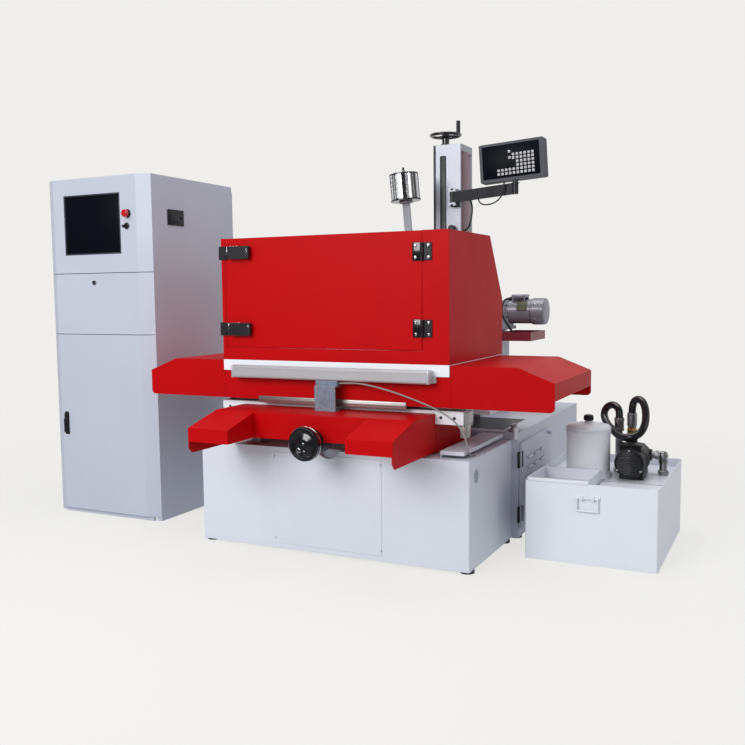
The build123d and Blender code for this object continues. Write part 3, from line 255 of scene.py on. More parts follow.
paint = {
    "cream_paint": finish("bed_paint", (0.70, 0.73, 0.80), (0.60, 0.63, 0.71), 0.42, coat=0.1,
                          amount=0.3, worn=(0.86, 0.88, 0.92), wear=0.5),
    "red_paint": finish("red_paint", (0.49, 0.001, 0.003), (0.40, 0.001, 0.002), 0.42, coat=0.0,
                        amount=0.35, grain=420.0, bump=0.06, worn=(0.62, 0.02, 0.03), wear=0.4,
                        specular=0.08),
    "white_paint": finish("white_paint", (0.86, 0.88, 0.92), (0.76, 0.78, 0.83), 0.36, coat=0.2,
                          worn=(0.92, 0.93, 0.95), wear=0.4),
    "cabinet_paint": finish("cabinet_paint", (0.53, 0.555, 0.64), (0.46, 0.485, 0.57), 0.42,
                            coat=0.08, amount=0.4, size=1.6, worn=(0.70, 0.72, 0.78), wear=0.5),
    "tank_paint": finish("tank_paint", (0.80, 0.83, 0.89), (0.70, 0.73, 0.80), 0.42, coat=0.1,
                         worn=(0.86, 0.88, 0.92), wear=0.5),
    "column_paint": finish("column_paint", (0.36, 0.375, 0.43), (0.26, 0.275, 0.33), 0.34,
                           coat=0.15, metal=0.25, worn=(0.7, 0.72, 0.76), wear=0.5),
    "casting": finish("casting_paint", (0.36, 0.38, 0.42), (0.22, 0.24, 0.28), 0.48, amount=0.5,
                      size=9.0, grain=260.0, bump=0.2, worn=(0.55, 0.57, 0.6), wear=0.5),
    "ground_steel": finish("ground_steel", (0.46, 0.47, 0.49), (0.30, 0.31, 0.33), 0.30, metal=1.0,
                           amount=0.5, size=14.0, lines=(12.0, 900.0, 900.0), bump=0.12,
                           worn=(0.7, 0.71, 0.73)),
    "dark_steel": finish("blackened_steel", (0.045, 0.047, 0.052), (0.022, 0.023, 0.026), 0.42,
                         metal=0.6, amount=0.5, size=12.0, worn=(0.25, 0.25, 0.27), wear=0.4),
    "aluminium": finish("anodised_aluminium", (0.50, 0.49, 0.48), (0.36, 0.35, 0.34), 0.36,
                        metal=0.9, lines=(10.0, 700.0, 700.0), bump=0.08,
                        worn=(0.75, 0.75, 0.76)),
    "bracket_paint": finish("bracket_paint", (0.20, 0.235, 0.30), (0.12, 0.145, 0.20), 0.42,
                            amount=0.8, size=60.0, grain=300.0, bump=0.25,
                            worn=(0.5, 0.55, 0.6), wear=0.7),
    "black_plastic": finish("black_plastic", (0.012, 0.012, 0.015), (0.02, 0.02, 0.024), 0.42,
                            specular=0.35, grain=900.0, bump=0.08, worn=(0.09, 0.09, 0.10), wear=0.5),
    "black_gloss": finish("black_lacquer", (0.007, 0.007, 0.009), (0.014, 0.014, 0.016), 0.16,
                          coat=0.6, worn=(0.12, 0.12, 0.13), wear=0.4),
    "stop_red": finish("stop_red", (0.50, 0.008, 0.012), (0.36, 0.005, 0.008), 0.25, coat=0.5,
                       worn=(0.7, 0.15, 0.15)),
    "dark_bezel": finish("grey_moulding", (0.040, 0.043, 0.062), (0.028, 0.03, 0.045), 0.50,
                         grain=1100.0, bump=0.1, worn=(0.12, 0.125, 0.15), wear=0.5),
    "motor_paint": finish("motor_paint", (0.27, 0.27, 0.30), (0.18, 0.18, 0.21), 0.34, coat=0.2,
                          metal=0.25, amount=0.4, size=8.0, worn=(0.5, 0.5, 0.54), wear=0.5),
    "pump_black": finish("pump_black", (0.006, 0.006, 0.008), (0.014, 0.014, 0.018), 0.42, specular=0.3,
                         amount=0.5, size=16.0, worn=(0.15, 0.15, 0.17), wear=0.5),
    "chrome_steel": finish("chrome", (0.72, 0.73, 0.76), (0.60, 0.61, 0.64), 0.10, metal=1.0,
                           amount=0.2, bump=0.01, worn=(0.9, 0.9, 0.92)),
    "plated_pipe": finish("galvanised_pipe", (0.42, 0.42, 0.43), (0.24, 0.24, 0.25), 0.34,
                          metal=1.0, amount=0.7, size=40.0, grain=500.0, bump=0.1,
                          worn=(0.7, 0.7, 0.72)),
    "hose_rubber": finish("hose_rubber", (0.010, 0.010, 0.012), (0.02, 0.02, 0.022), 0.22,
                          coat=0.35, edge=False, grain=500.0, bump=0.05),
    "cable_grey": finish("grey_cable", (0.30, 0.29, 0.28), (0.20, 0.19, 0.18), 0.45, edge=False,
                         size=30.0, amount=0.5, grain=900.0, bump=0.1),
    "cable_black": finish("black_cable", (0.012, 0.012, 0.013), (0.025, 0.025, 0.028), 0.42,
                          edge=False, grain=900.0, bump=0.1),
    "circuit_parts": finish("circuit_boxes", (0.10, 0.16, 0.12), (0.05, 0.08, 0.06), 0.5,
                            amount=0.6, size=20.0, worn=(0.3, 0.35, 0.3)),
}
brass = finish("brass", (0.62, 0.40, 0.15), (0.42, 0.26, 0.09), 0.28, metal=1.0, amount=0.5,
               size=50.0, worn=(0.8, 0.6, 0.3))
screen_glass = finish("screen_glass", (0.004, 0.005, 0.009), (0.007, 0.008, 0.013), 0.32, size=2.0,
                      edge=False, bump=0.0, specular=0.04)
key_plastic = finish("pale_keys", (0.62, 0.63, 0.66), (0.50, 0.51, 0.55), 0.42, size=40.0,
                     edge=False)
plum_cover = finish("plum_cover", (0.165, 0.075, 0.10), (0.12, 0.05, 0.07), 0.36, coat=0.2,
                    worn=(0.4, 0.25, 0.28), wear=0.4)
deck_steel = finish("deck_steel", (0.34, 0.355, 0.40), (0.24, 0.25, 0.29), 0.34, metal=0.35,
                    amount=0.5, size=7.0, worn=(0.6, 0.62, 0.66))
scale_grey = finish("scale_grey", (0.52, 0.53, 0.55), (0.42, 0.43, 0.45), 0.38, metal=0.3,
                    amount=0.4, size=12.0, lines=(10.0, 700.0, 700.0), bump=0.06,
                    worn=(0.75, 0.76, 0.78))
maroon_paint = finish("maroon_paint", (0.26, 0.02, 0.04), (0.18, 0.015, 0.03), 0.40, coat=0.1,
                      amount=0.5, size=8.0, worn=(0.4, 0.15, 0.18), wear=0.4)
plate_yellow = finish("rating_plate", (0.10, 0.105, 0.045), (0.05, 0.055, 0.025), 0.4, size=60.0,
                      amount=0.7, edge=False)
print("finishes:", len(bpy.data.materials))

# %% [markdown]
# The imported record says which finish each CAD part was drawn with. The parts keep
# their meshes and only get the better material in their own material slot. Four
# parts look unlike the finish that the record names, so they get another one.

# %% Give every CAD part its finish
slot_of = {part["node"]: part["material_slot"] for part in frame["record"]["subparts"]}
for name, node in nodes.items():
    node.data.materials.clear()
    node.data.materials.append(paint[slot_of[name]])
own_finish = {"linear_scale": scale_grey, "filter_housing": paint["white_paint"],
              "key_switch": paint["black_plastic"], "drum_tray": maroon_paint}
for name, material in own_finish.items():
    nodes[name].data.materials[0] = material
print("finishes used:", sorted(set(slot_of.values())))

# %% [markdown]
# A hose or cable has one fixed length and keeps it. Each is a NURBS line through
# the same control points as in the CAD model, so it hangs in one smooth curve. The
# two that join moving parts become plain meshes that are attached to no body.


# %% Cords
def spline_object(name, points, thickness):
    """A smooth open curve with a round section."""
    curve = bpy.data.curves.new(name, "CURVE")
    curve.dimensions = "3D"
    curve.resolution_u = 10
    curve.bevel_depth = thickness / 2000
    curve.bevel_resolution = 5
    curve.use_fill_caps = True
    spline = curve.splines.new("NURBS")
    spline.points.add(len(points) - 1)
    for knot, point in zip(spline.points, points):
        knot.co = (*at(*point), 1.0)
    spline.order_u = 3
    spline.use_endpoint_u = True
    item = bpy.data.objects.new(name, curve)
    bpy.context.scene.collection.objects.link(item)
    return item


def centre_line(points):
    """The points of the smooth line itself, read back from Blender."""
    bare = spline_object("bare_line", points, 0.0)
    bpy.context.view_layer.update()
    line = bpy.data.meshes.new_from_object(bare.evaluated_get(
        bpy.context.evaluated_depsgraph_get()))
    found = [vertex.co.copy() for vertex in line.vertices]
    bpy.data.objects.remove(bare)
    bpy.data.meshes.remove(line)
    return found


def add_cord(name, node, points, thickness, length, slot, body, other=None):
    """A cord through the given points. With another body named, it becomes a mesh attached to no body.
    """
    item = spline_object(name, points, thickness)
    item.data.materials.append(paint[slot])
    line = centre_line(points)
    measured = sum((b - a).length for a, b in zip(line, line[1:]))
    if other:
        bpy.context.view_layer.update()
        tube = bpy.data.meshes.new_from_object(item.evaluated_get(
            bpy.context.evaluated_depsgraph_get()))
        bpy.data.objects.remove(item)
        item = bpy.data.objects.new(name, tube)
        bpy.context.scene.collection.objects.link(item)
        tube.shade_smooth()
        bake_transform(item)
    else:
        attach(item, body)
    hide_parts(node)
    print(name, "measures", round(measured, 3), "m, said to be", length)
    return item


hose_route = [(1149, 850, 584), (1149, 850, 618), (1161, 843, 646), (1186, 828, 654),
              (1209, 808, 634), (1222, 780, 590), (1222, 752, 540), (1200, 732, 502),
              (1157, 720, 488), (1117, 734, 488), (1084, 776, 502), (1052, 818, 522),
              (1024, 856, 546), (1014, 880, 576), (1028, 888, 606), (1058, 880, 617),
              (1084, 861, 603), (1092, 850, 582), (1092, 845, 560)]
scale_route = [(43, 20, 763), (95, 19, 766), (150, 17, 768), (205, 16, 762), (260, 16, 751),
               (315, 16, 738), (370, 17, 722), (425, 20, 704), (480, 26, 683), (532, 34, 658),
               (580, 41, 626), (614, 46, 585), (630, 48, 540), (633, 54, 503), (634, 84, 480),
               (633, 124, 476), (626, 164, 476), (606, 190, 476), (580, 200, 477)]
readout_route = [(505, 938, 1688.1), (505, 938, 1663), (499, 938, 1632), (480, 942, 1604),
                 (450, 950, 1588), (417, 960, 1582), (385, 972, 1585), (361, 984, 1597),
                 (353, 994, 1616)]
motor_route = [(421, 1328, 1110), (405, 1316, 1111), (394, 1292, 1100), (392, 1262, 1072),
               (398, 1238, 1030), (425, 1222, 988), (456, 1218, 950), (470, 1218, 922),
               (474, 1219, 898)]
column_route = [(233, 1110, 1636), (255, 1109, 1634), (274, 1106, 1618), (282, 1103, 1588),
                (280, 1101, 1550), (272, 1100, 1512), (260, 1102, 1480), (233, 1108, 1466)]
add_cord("coolant_line", "coolant_hose", hose_route, 34, 0.71, "hose_rubber", "base")
add_cord("scale_lead", "scale_cable", scale_route, 7, 0.88, "cable_grey", "saddle", "base")
add_cord("readout_lead", "dro_cable", readout_route, 7, 0.24, "cable_black", "readout_arm")
add_cord("drum_motor_lead", "motor_cable", motor_route, 12, 0.29, "cable_black", "carriage",
         "base")
add_cord("column_lead", "column_cable", column_route, 9, 0.22, "cable_black", "base")

# %% [markdown]
# Most small fittings are turned, cut or bent from simple stock. A few helpers
# start each one from a Blender operator: a cube that is scaled and bevelled for
# plates and keys, and a profile that is spun round an axis for anything turned.


# %% Helpers for small fittings
def finish_piece(name, bm, materials, body, smooth=35):
    """Turns a bmesh into a piece that rides on a body."""
    bmesh.ops.recalc_face_normals(bm, faces=bm.faces)
    mesh = bpy.data.meshes.new(name)
    bm.to_mesh(mesh)
    bm.free()
    for material in materials:
        mesh.materials.append(material)
    mesh.shade_smooth()
    mesh.set_sharp_from_angle(angle=math.radians(smooth))
    item = bpy.data.objects.new(name, mesh)
    bpy.context.scene.collection.objects.link(item)
    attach(item, body)
    return item


def plate(bm, x, y, z, soft=0.0, steps=2, index=0, turned=None):
    """A block between two values along each axis, in millimetres, with soft edges."""
    low, high = at(x[0], y[0], z[0]), at(x[1], y[1], z[1])
    size = Matrix.Diagonal((*(high - low), 1.0))
    made = bmesh.ops.create_cube(bm, size=1.0, matrix=Matrix.Translation((low + high) / 2) @ size)
    verts = made["verts"]
    if turned:
        bmesh.ops.rotate(bm, cent=(low + high) / 2, matrix=turned, verts=verts)
    borders = list({edge for vert in verts for edge in vert.link_edges})
    faces = {face for vert in verts for face in vert.link_faces}
    if soft:
        result = bmesh.ops.bevel(bm, geom=borders, offset=soft / 1000, segments=steps,
                                 profile=0.5, affect="EDGES", material=-1, offset_type="OFFSET")
        faces |= set(result["faces"])
    for face in faces:
        if face.is_valid:
            face.material_index = index


def turned(bm, start, direction, profile, steps=32, index=0):
    """A turned shape: profile is (radius, distance along the axis) in millimetres."""
    along = Vector(direction).normalized()
    aside = along.orthogonal().normalized()
    origin = at(*start)
    verts = [bm.verts.new(origin + aside * (r / 1000) + along * (h / 1000)) for r, h in profile]
    lines = [bm.edges.new(pair) for pair in zip(verts, verts[1:])]
    made = bmesh.ops.spin(bm, geom=verts + lines, cent=origin, axis=along,
                          angle=math.tau, steps=steps, use_merge=True)
    ring = {item for item in made["geom_last"] if isinstance(item, bmesh.types.BMVert)}
    faces = {face for vert in verts for face in vert.link_faces}
    grown = set(faces)
    while faces:
        faces = {other for face in faces for vert in face.verts
                 for other in vert.link_faces} - grown
        grown |= faces
    for face in grown:
        face.material_index = index
    touched = {vert for face in grown for vert in face.verts} | ring
    bmesh.ops.remove_doubles(bm, verts=[v for v in touched if v.is_valid], dist=1e-6)


def screw(bm, start, direction, radius, index=0):
    """A pan-head screw with a hexagon socket sunk in its head."""
    height = radius * 0.55
    turned(bm, start, direction,
           [(0, height * 0.45), (radius * 0.42, height * 0.45), (radius * 0.45, height),
            (radius * 0.75, height * 0.92), (radius, height * 0.45), (radius, 0), (0, 0)],
           steps=12, index=index)


front, right_side, top = (0, -1, 0), (1, 0, 0), (0, 0, 1)
print("helpers ready")

# %% [markdown]
# The splash guard's door hangs on two black hinges. Each leaf has two bright
# screws, and the two turning latches opposite have thin bright edges.

# %% Hinges and latches of the splash guard
for body, places, name in (("guard_door", (405, 425), "door_hinge_screws"),
                           ("table", (455, 475), "frame_hinge_screws")):
    bm = bmesh.new()
    for z in (1316, 1001):
        x = places[0] + 6 if body == "guard_door" else places[1] - 6
        for rise in (-24, 24):
            screw(bm, (x, 43.6, z + rise), front, 7)
    finish_piece(name, bm, [paint["chrome_steel"]], body)
for body, z, name in (("upper_latch_lever", 1337, "upper_latch_trim"),
                      ("lower_latch_lever", 992, "lower_latch_trim")):
    bm = bmesh.new()
    plate(bm, (-508.5, -506), (23, 26), (z - 27, z + 27), 0.6)
    plate(bm, (-403, -401), (23, 26), (z - 22, z + 22), 0.6)
    for x in (-497, -480, -462):
        plate(bm, (x, x + 9), (26, 30), (z + 27, z + 30.5), 0.8)
    finish_piece(name, bm, [paint["chrome_steel"]], body)
bm = bmesh.new()
for z in (1316, 1001):
    plate(bm, (397, 433), (43.4, 50.2), (z - 37, z + 37), 1.2)
    turned(bm, (440, 40, z - 11.4), top, [(4, 0), (7.4, 0), (7.4, 22.8), (4, 22.8), (4, 0)], 24)
finish_piece("door_hinge_leaves", bm, [paint["black_gloss"]], "guard_door")
bm = bmesh.new()
plate(bm, (-537.5, -533), (48.8, 50), (911, 1400), 0.5)
plate(bm, (432.5, 437), (48.8, 50), (911, 1400), 0.5)
plate(bm, (-533, 432.5), (48.8, 50), (911, 915), 0.5)
finish_piece("door_folded_edges", bm, [paint["red_paint"]], "guard_door")
print("splash guard fittings made")

# %% [markdown]
# The readout is a dark moulded case with a black glass face. Its keys are small
# pale squares with rounded corners: one block on the right and two rows below.

# %% Readout face and keys
stem_foot = (560, 945, 1692)
readout_roll = math.radians(-3.5)


def roll_readout(bm):
    """Tips a flat face by the small angle at which the readout hangs on its stem."""
    bmesh.ops.rotate(bm, cent=at(*stem_foot), verts=bm.verts,
                     matrix=Matrix.Rotation(readout_roll, 3, "Y"))


bm = bmesh.new()
plate(bm, (402, 690), (928.4, 931), (1708, 1868), 0.8)
roll_readout(bm)
finish_piece("readout_glass", bm, [screen_glass], "readout")
bm = bmesh.new()
key_columns = [477 + 19.3 * step for step in range(10)]
key_rows = (1822, 1805, 1787, 1769, 1751, 1733)
key_places = [(x, z) for row, z in enumerate(key_rows)
              for x in key_columns[4 if row < 2 else 5 if row < 4 else 0:]]
key_places += [(535, 1838), (535, 1808)]
for x, z in key_places:
    plate(bm, (x, x + 12.5), (926.4, 929), (z - 12.5, z), 2.0)
    plate(bm, (x + 2.6, x + 9.9), (925.8, 928), (z - 9.9, z - 2.6), 1.0, index=1)
roll_readout(bm)
finish_piece("readout_keys", bm, [key_plastic, paint["dark_bezel"]], "readout")
bm = bmesh.new()
turned(bm, (560, 945, 1676.5), top, [(0, 0), (20, 0), (20, 3), (15, 4.2), (0, 4.2)])
finish_piece("readout_swivel_collar", bm, [paint["dark_bezel"]], "readout_arm")
bm = bmesh.new()
for z in (1592, 1671):
    turned(bm, (201, 1030, z), top, [(0, 0), (17, 0), (20, 3), (20, 8), (15, 10), (0, 10)], 6)
plate(bm, (192, 232), (1031, 1060), (1590, 1612), 3)
finish_piece("arm_clamp_bolts", bm, [paint["black_plastic"]], "base")
print("keys:", len(key_places))

# %% [markdown]
# The supply reel is a bright metal spool on a leaning post. Its barrel is bent
# from ribbed strip, so the ring of vertices is pushed in and out before it is
# raised. Black bands on it are partly seams between the strips and partly painted
# reflection, widest where the barrel faces the camera.

# %% Wire supply reel
reel_place = (17, 850, 1602)
lean = Matrix.Rotation(math.radians(-5), 4, "Y")
reel_foot = Matrix.Translation(at(*reel_place)) @ lean
bm = bmesh.new()
ribs = bmesh.ops.create_circle(bm, cap_ends=False, segments=96, radius=0.073)["verts"]
for step, vert in enumerate(ribs):
    push = (0.0, 0.0, -0.0035, -0.0035)[step % 4]
    vert.co *= (0.073 + push) / 0.073
lower_edges = [edge for edge in bm.edges]
raised = bmesh.ops.extrude_edge_only(bm, edges=lower_edges)["geom"]
bmesh.ops.translate(bm, verts=[v for v in raised if isinstance(v, bmesh.types.BMVert)],
                    vec=(0, 0, 0.122))
bmesh.ops.translate(bm, verts=bm.verts, vec=(0, 0, 0.018))
bmesh.ops.holes_fill(bm, edges=[e for e in bm.edges if e.is_boundary], sides=0)
# Black gloss bands round the barrel: partly seams between the strips, partly painted reflection of the
# dark room before it; the widest, at 292 degrees, faces the camera.
for face in bm.faces:
    middle = face.calc_center_median()
    angle = math.degrees(math.atan2(middle.y, middle.x)) % 360
    dark = any(abs(angle - spot) < wide for spot, wide in
               ((292, 9.5), (243, 3.5), (337, 3.5), (20, 4), (75, 4), (130, 4), (185, 4)))
    face.material_index = 1 if dark else 0
bmesh.ops.transform(bm, matrix=reel_foot, verts=bm.verts)
spool = finish_piece("reel_barrel", bm, [paint["chrome_steel"], paint["black_gloss"]], "reel",
                     smooth=20)
bm = bmesh.new()
for low, radius in ((9, 78), (140, 74)):
    turned(bm, reel_place, top,
           [(9, low), (radius - 2, low), (radius, low + 2), (radius, low + 5),
            (radius - 2, low + 7), (9, low + 7), (9, low)], 64)
bmesh.ops.rotate(bm, cent=at(*reel_place), matrix=lean.to_3x3(), verts=bm.verts)
finish_piece("reel_discs", bm, [paint["black_gloss"]], "reel")
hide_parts("wire_reel")
bm = bmesh.new()
turned(bm, reel_place, top, [(0, 150), (13, 150), (13, 156), (7, 162), (5, 178), (4, 180),
                                  (0, 180)], 24)
bmesh.ops.rotate(bm, cent=at(*reel_place), matrix=lean.to_3x3(), verts=bm.verts)
finish_piece("reel_nut", bm, [paint["dark_steel"]], "wire_head")
print("reel faces:", len(spool.data.polygons))

# %% [markdown]
# The column carries dark way strips on its front, a plum coloured cover on its
# right side and, below the readout's arm, a knob. The raising wheel has a grip.

# %% Column fittings
bm = bmesh.new()
plate(bm, (121, 152), (1053, 1060.5), (905, 1855), 1.2)
plate(bm, (84, 95), (1056, 1060.5), (905, 1911), 1.0)
finish_piece("column_way_strips", bm, [paint["dark_steel"]], "base")
bm = bmesh.new()
plate(bm, (232, 236), (1078, 1208), (905, 1880), 1.5)
finish_piece("column_side_cover", bm, [plum_cover], "base")
bm = bmesh.new()
for y in (1088, 1198):
    for z in (1868, 1500):
        screw(bm, (236, y, z), right_side, 4.5)
turned(bm, (136, 1100, 1913), top, [(0, 0), (30, 0), (30, 5), (24, 8), (0, 8)], 32)
finish_piece("column_screws", bm, [paint["dark_steel"]], "base")
bm = bmesh.new()
turned(bm, (190, 1060, 1478), front, [(0, 0), (12, 0), (12, 10), (19, 12), (19, 26), (16, 29),
                                      (0, 29)], 24)
turned(bm, (209, 1060, 1432), front, [(0, 0), (10, 0), (10, 18), (0, 18)], 16)
finish_piece("column_knob", bm, [paint["black_plastic"]], "base")
bm = bmesh.new()
grip = [(9.3, 0), (11, 3), (11, 8)]
for groove in range(12):
    grip += [(11, 10 + groove * 4.5), (10.2, 11.5 + groove * 4.5), (10.2, 12.5 + groove * 4.5)]
grip += [(11, 66), (8, 69.5), (0, 70)]
turned(bm, (206, 1100, 1966), top, grip, 24)
finish_piece("raising_wheel_grip", bm, [paint["dark_steel"]], "z_wheel")
bm = bmesh.new()
turned(bm, (136, 1100, 1978), top, [(0, 0), (15, 0), (15, 4), (9, 7), (0, 7)], 6)
finish_piece("raising_wheel_nut", bm, [paint["chrome_steel"]], "z_wheel")
print("column dressed")

# %% [markdown]
# Two handwheels move the slides. The front one is a solid black disc with a
# polished rim edge, a bright graduated collar behind it and a finger grip.

# %% Front handwheel and its dial
bm = bmesh.new()
turned(bm, (12, -195, 532), (0, 1, 0),
       [(56, 4), (72.6, 4), (73.0, 6), (73.0, 9), (72.4, 10.5), (56, 10.5), (56, 4)], 64)
turned(bm, (12, -188, 532), (0, 1, 0), [(40, 0), (54.6, 0), (55.2, 2), (55.2, 20), (54, 22),
                                        (40, 22), (40, 0)], 64)
finish_piece("front_wheel_rings", bm, [paint["chrome_steel"]], "y_wheel")
bm = bmesh.new()
for tick in range(50):
    angle = math.tau * tick / 50
    long = 13 if tick % 5 == 0 else 7
    x, z = 12 + 55.1 * math.cos(angle), 532 + 55.1 * math.sin(angle)
    plate(bm, (x - 0.5, x + 0.5), (-186, -186 + long), (z - 0.4, z + 0.4), index=0)
finish_piece("front_wheel_marks", bm, [paint["black_gloss"]], "y_wheel")
bm = bmesh.new()
turned(bm, (-10, -209, 504), front, [(0, -2), (11, -2), (12, 0), (12, 2), (10, 4.5), (0, 5)], 32)
turned(bm, (12, -207, 532), front, [(0, -1), (7, -1), (7, 1.5), (5, 3), (0, 3)], 6)
turned(bm, (17, -209, 502), front, [(0, -2), (4, -2), (4, 2), (3, 3), (0, 3)], 16)
finish_piece("front_wheel_studs", bm, [paint["chrome_steel"]], "y_wheel")
print("handwheel dressed")

# %% [markdown]
# Under the table a bright strip carries the stops that end its travel, and the
# saddle's front beam has bolt heads and a small limit switch at its right end.

# %% Saddle and table fittings
bm = bmesh.new()
plate(bm, (-371, 361), (50, 57), (661, 690), 1.5)
plate(bm, (-368, 358), (48.5, 50.5), (671, 680), 0.6)
finish_piece("stop_strip", bm, [paint["aluminium"]], "table")
bm = bmesh.new()
for x in (-560, -470, 500, 560):
    screw(bm, (x, 95, 628), front, 6.5)
finish_piece("beam_bolts", bm, [paint["dark_steel"]], "saddle")
bm = bmesh.new()
plate(bm, (574, 606), (120, 168), (543, 600), 3)
plate(bm, (599, 604), (105, 200), (588, 652), 1.5)
finish_piece("limit_switch", bm, [paint["aluminium"]], "saddle")
bm = bmesh.new()
for x in (-440, -410, 430):
    screw(bm, (x, 60, 644), top, 4.5)
finish_piece("cover_screws", bm, [paint["dark_steel"]], "saddle")
bm = bmesh.new()
for x in (-33, 45):
    screw(bm, (x, -10, 744), front, 4.5)
    screw(bm, (x, -10, 660), front, 4.5)
finish_piece("bracket_screws", bm, [paint["chrome_steel"]], "saddle")
bm = bmesh.new()
plate(bm, (-484, -474), (2, 41), (774.5, 831), 1.5)
plate(bm, (474, 484), (2, 41), (774.5, 831), 1.5)
plate(bm, (-470, 470), (1.8, 3.6), (786, 788), 0.4)
plate(bm, (-470, 470), (1.8, 3.6), (818, 820), 0.4)
finish_piece("scale_end_caps", bm, [scale_grey], "table")
print("slides dressed")

# %% [markdown]
# The drum's motor is a smooth grey can with a larger fan cowl. A dark joint runs
# round between them, and a rating plate without writing sits on its side.

# %% Drum motor details
bm = bmesh.new()
turned(bm, (536, 1350, 1042), right_side, [(60, 0), (66.8, 0), (66.8, 4), (60, 4), (60, 0)], 64)
finish_piece("motor_joint_ring", bm, [paint["black_plastic"]], "carriage")
bm = bmesh.new()
turned(bm, (549, 1350, 1042), right_side,
       [(71, 0), (71.8, 1), (71.8, 40), (70, 51), (63, 60), (50, 64.5), (0, 64.5), (0, 63),
        (60, 54), (70.5, 38), (71, 0)], 64)
finish_piece("motor_cowl_skin", bm, [paint["motor_paint"]], "carriage")
bm = bmesh.new()
for angle in (35, 145, 215, 325):
    y = 1350 + 71.5 * math.cos(math.radians(angle))
    z = 1042 + 71.5 * math.sin(math.radians(angle))
    out = (0, math.cos(math.radians(angle)), math.sin(math.radians(angle)))
    screw(bm, (562, y, z), out, 4)
finish_piece("motor_cowl_screws", bm, [paint["chrome_steel"]], "carriage")
bm = bmesh.new()
plate(bm, (433, 511), (1298, 1382), (1122, 1134), 5, 3)
plate(bm, (437, 507), (1302, 1378), (1088, 1123), 6, 3)
finish_piece("motor_terminal_lid", bm, [paint["column_paint"]], "carriage")
bm = bmesh.new()
plate(bm, (466, 520), (1285.5, 1289), (1046, 1096), 0.8,
      turned=Matrix.Rotation(math.radians(-28), 3, "X"))
finish_piece("motor_rating_plate", bm, [plate_yellow], "carriage")
bm = bmesh.new()
for x, z in ((372, 1010), (372, 1075), (400, 1010), (400, 1075)):
    screw(bm, (x + 8, 1295, z), front, 5)
turned(bm, (424, 1328, 1110), (-1, 0, 0), [(4.6, -6), (12, -6), (12, 4), (9, 6), (8, 16),
                                           (5, 18), (4.6, 18), (4.6, -6)], 24)
finish_piece("motor_gland", bm, [paint["black_plastic"]], "carriage")
print("motor dressed")

# %% [markdown]
# The cabinet is folded sheet. What catches the eye is the dark screen behind its
# frame, the red stop button on a collar, the key and the long swing handle.

# %% Control cabinet fittings
bm = bmesh.new()
plate(bm, (-1612, -1254), (167.5, 171), (1369, 1658), 1.0)
finish_piece("screen_glass", bm, [screen_glass], "base")
bm = bmesh.new()
for x in ((-1620, -1613), (-1253, -1246)):
    plate(bm, x, (160.5, 172), (1361, 1666), 1.5)
for z in ((1361, 1368), (1659, 1666)):
    plate(bm, (-1620, -1246), (160.5, 172), z, 1.5)
finish_piece("screen_frame", bm, [paint["dark_bezel"]], "base")
bm = bmesh.new()
turned(bm, (-1198, 162, 1558), front, [(11.5, 0), (21, 0), (21, 2), (17, 5), (17, 7), (11.5, 7),
                                       (11.5, 0)], 32)
finish_piece("stop_collar", bm, [paint["black_plastic"]], "base")
bm = bmesh.new()
turned(bm, (-1205, 162, 1497), front, [(9.5, 0), (16, 0), (16, 3), (14, 4.5), (9.5, 4.5),
                                       (9.5, 0)], 32)
turned(bm, (-1430, 158, 1218), front, [(0, 0), (11, 0), (11, 2), (9, 3), (3, 3), (3, 1), (0, 1)],
       24)
finish_piece("lock_rings", bm, [paint["black_plastic"]], "base")
bm = bmesh.new()
plate(bm, (-1670, -1644), (158, 162.2), (420, 540), 4, 3)
finish_piece("handle_plate", bm, [paint["black_plastic"]], "lower_door")
bm = bmesh.new()
plate(bm, (-1067.2, -1063), (308, 436), (1506, 1585), 4, 3)
plate(bm, (-1064, -1061), (322, 404), (1520, 1571), 3, 3)
turned(bm, (-1063, 418, 1546), right_side, [(0, 0), (8, 0), (8, 3), (6, 5), (0, 5)], 24)
finish_piece("side_latch", bm, [paint["black_plastic"]], "base")
print("cabinet dressed")

# %% [markdown]
# The coolant unit: a tank with a sunk deck, a filter canister with a domed lid,
# and a pump. Its motor has a ribbed body, a slotted fan cowl and three screws.

# %% Filter canister
bm = bmesh.new()
turned(bm, (979, 712, 0), top,
       [(0, 520.4), (99, 520.4), (100.3, 521.5), (100.3, 530), (98.5, 532), (96, 533), (95, 537),
        (88, 541), (70, 546), (45, 550), (24, 552), (16, 554), (13, 558), (12.5, 562), (16, 566),
        (20, 570), (21, 576), (18, 583), (10, 586.5), (0, 587)], 72)
lid = finish_piece("filter_dome", bm, [paint["white_paint"]], "lid")
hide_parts("filter_lid")
bm = bmesh.new()
turned(bm, (979, 712, 0), top,
       [(14, 559), (21, 560), (22.5, 566), (22.5, 576), (19, 584), (10, 586.9), (0, 587),
        (0, 586), (14, 575), (14, 559)], 40)
finish_piece("filter_knob", bm, [paint["black_plastic"]], "lid")
bm = bmesh.new()
for z, grow in ((318, 6), (330, 1.6), (506, 2.2), (513, 3.2)):
    turned(bm, (979, 712, z), top, [(95, 0), (97.5 + grow, 0), (98 + grow, 1.5), (98 + grow, 5),
                                    (97.5 + grow, 6.5), (95, 6.5), (95, 0)], 72)
finish_piece("filter_bands", bm, [paint["white_paint"]], "base")
print("filter made")

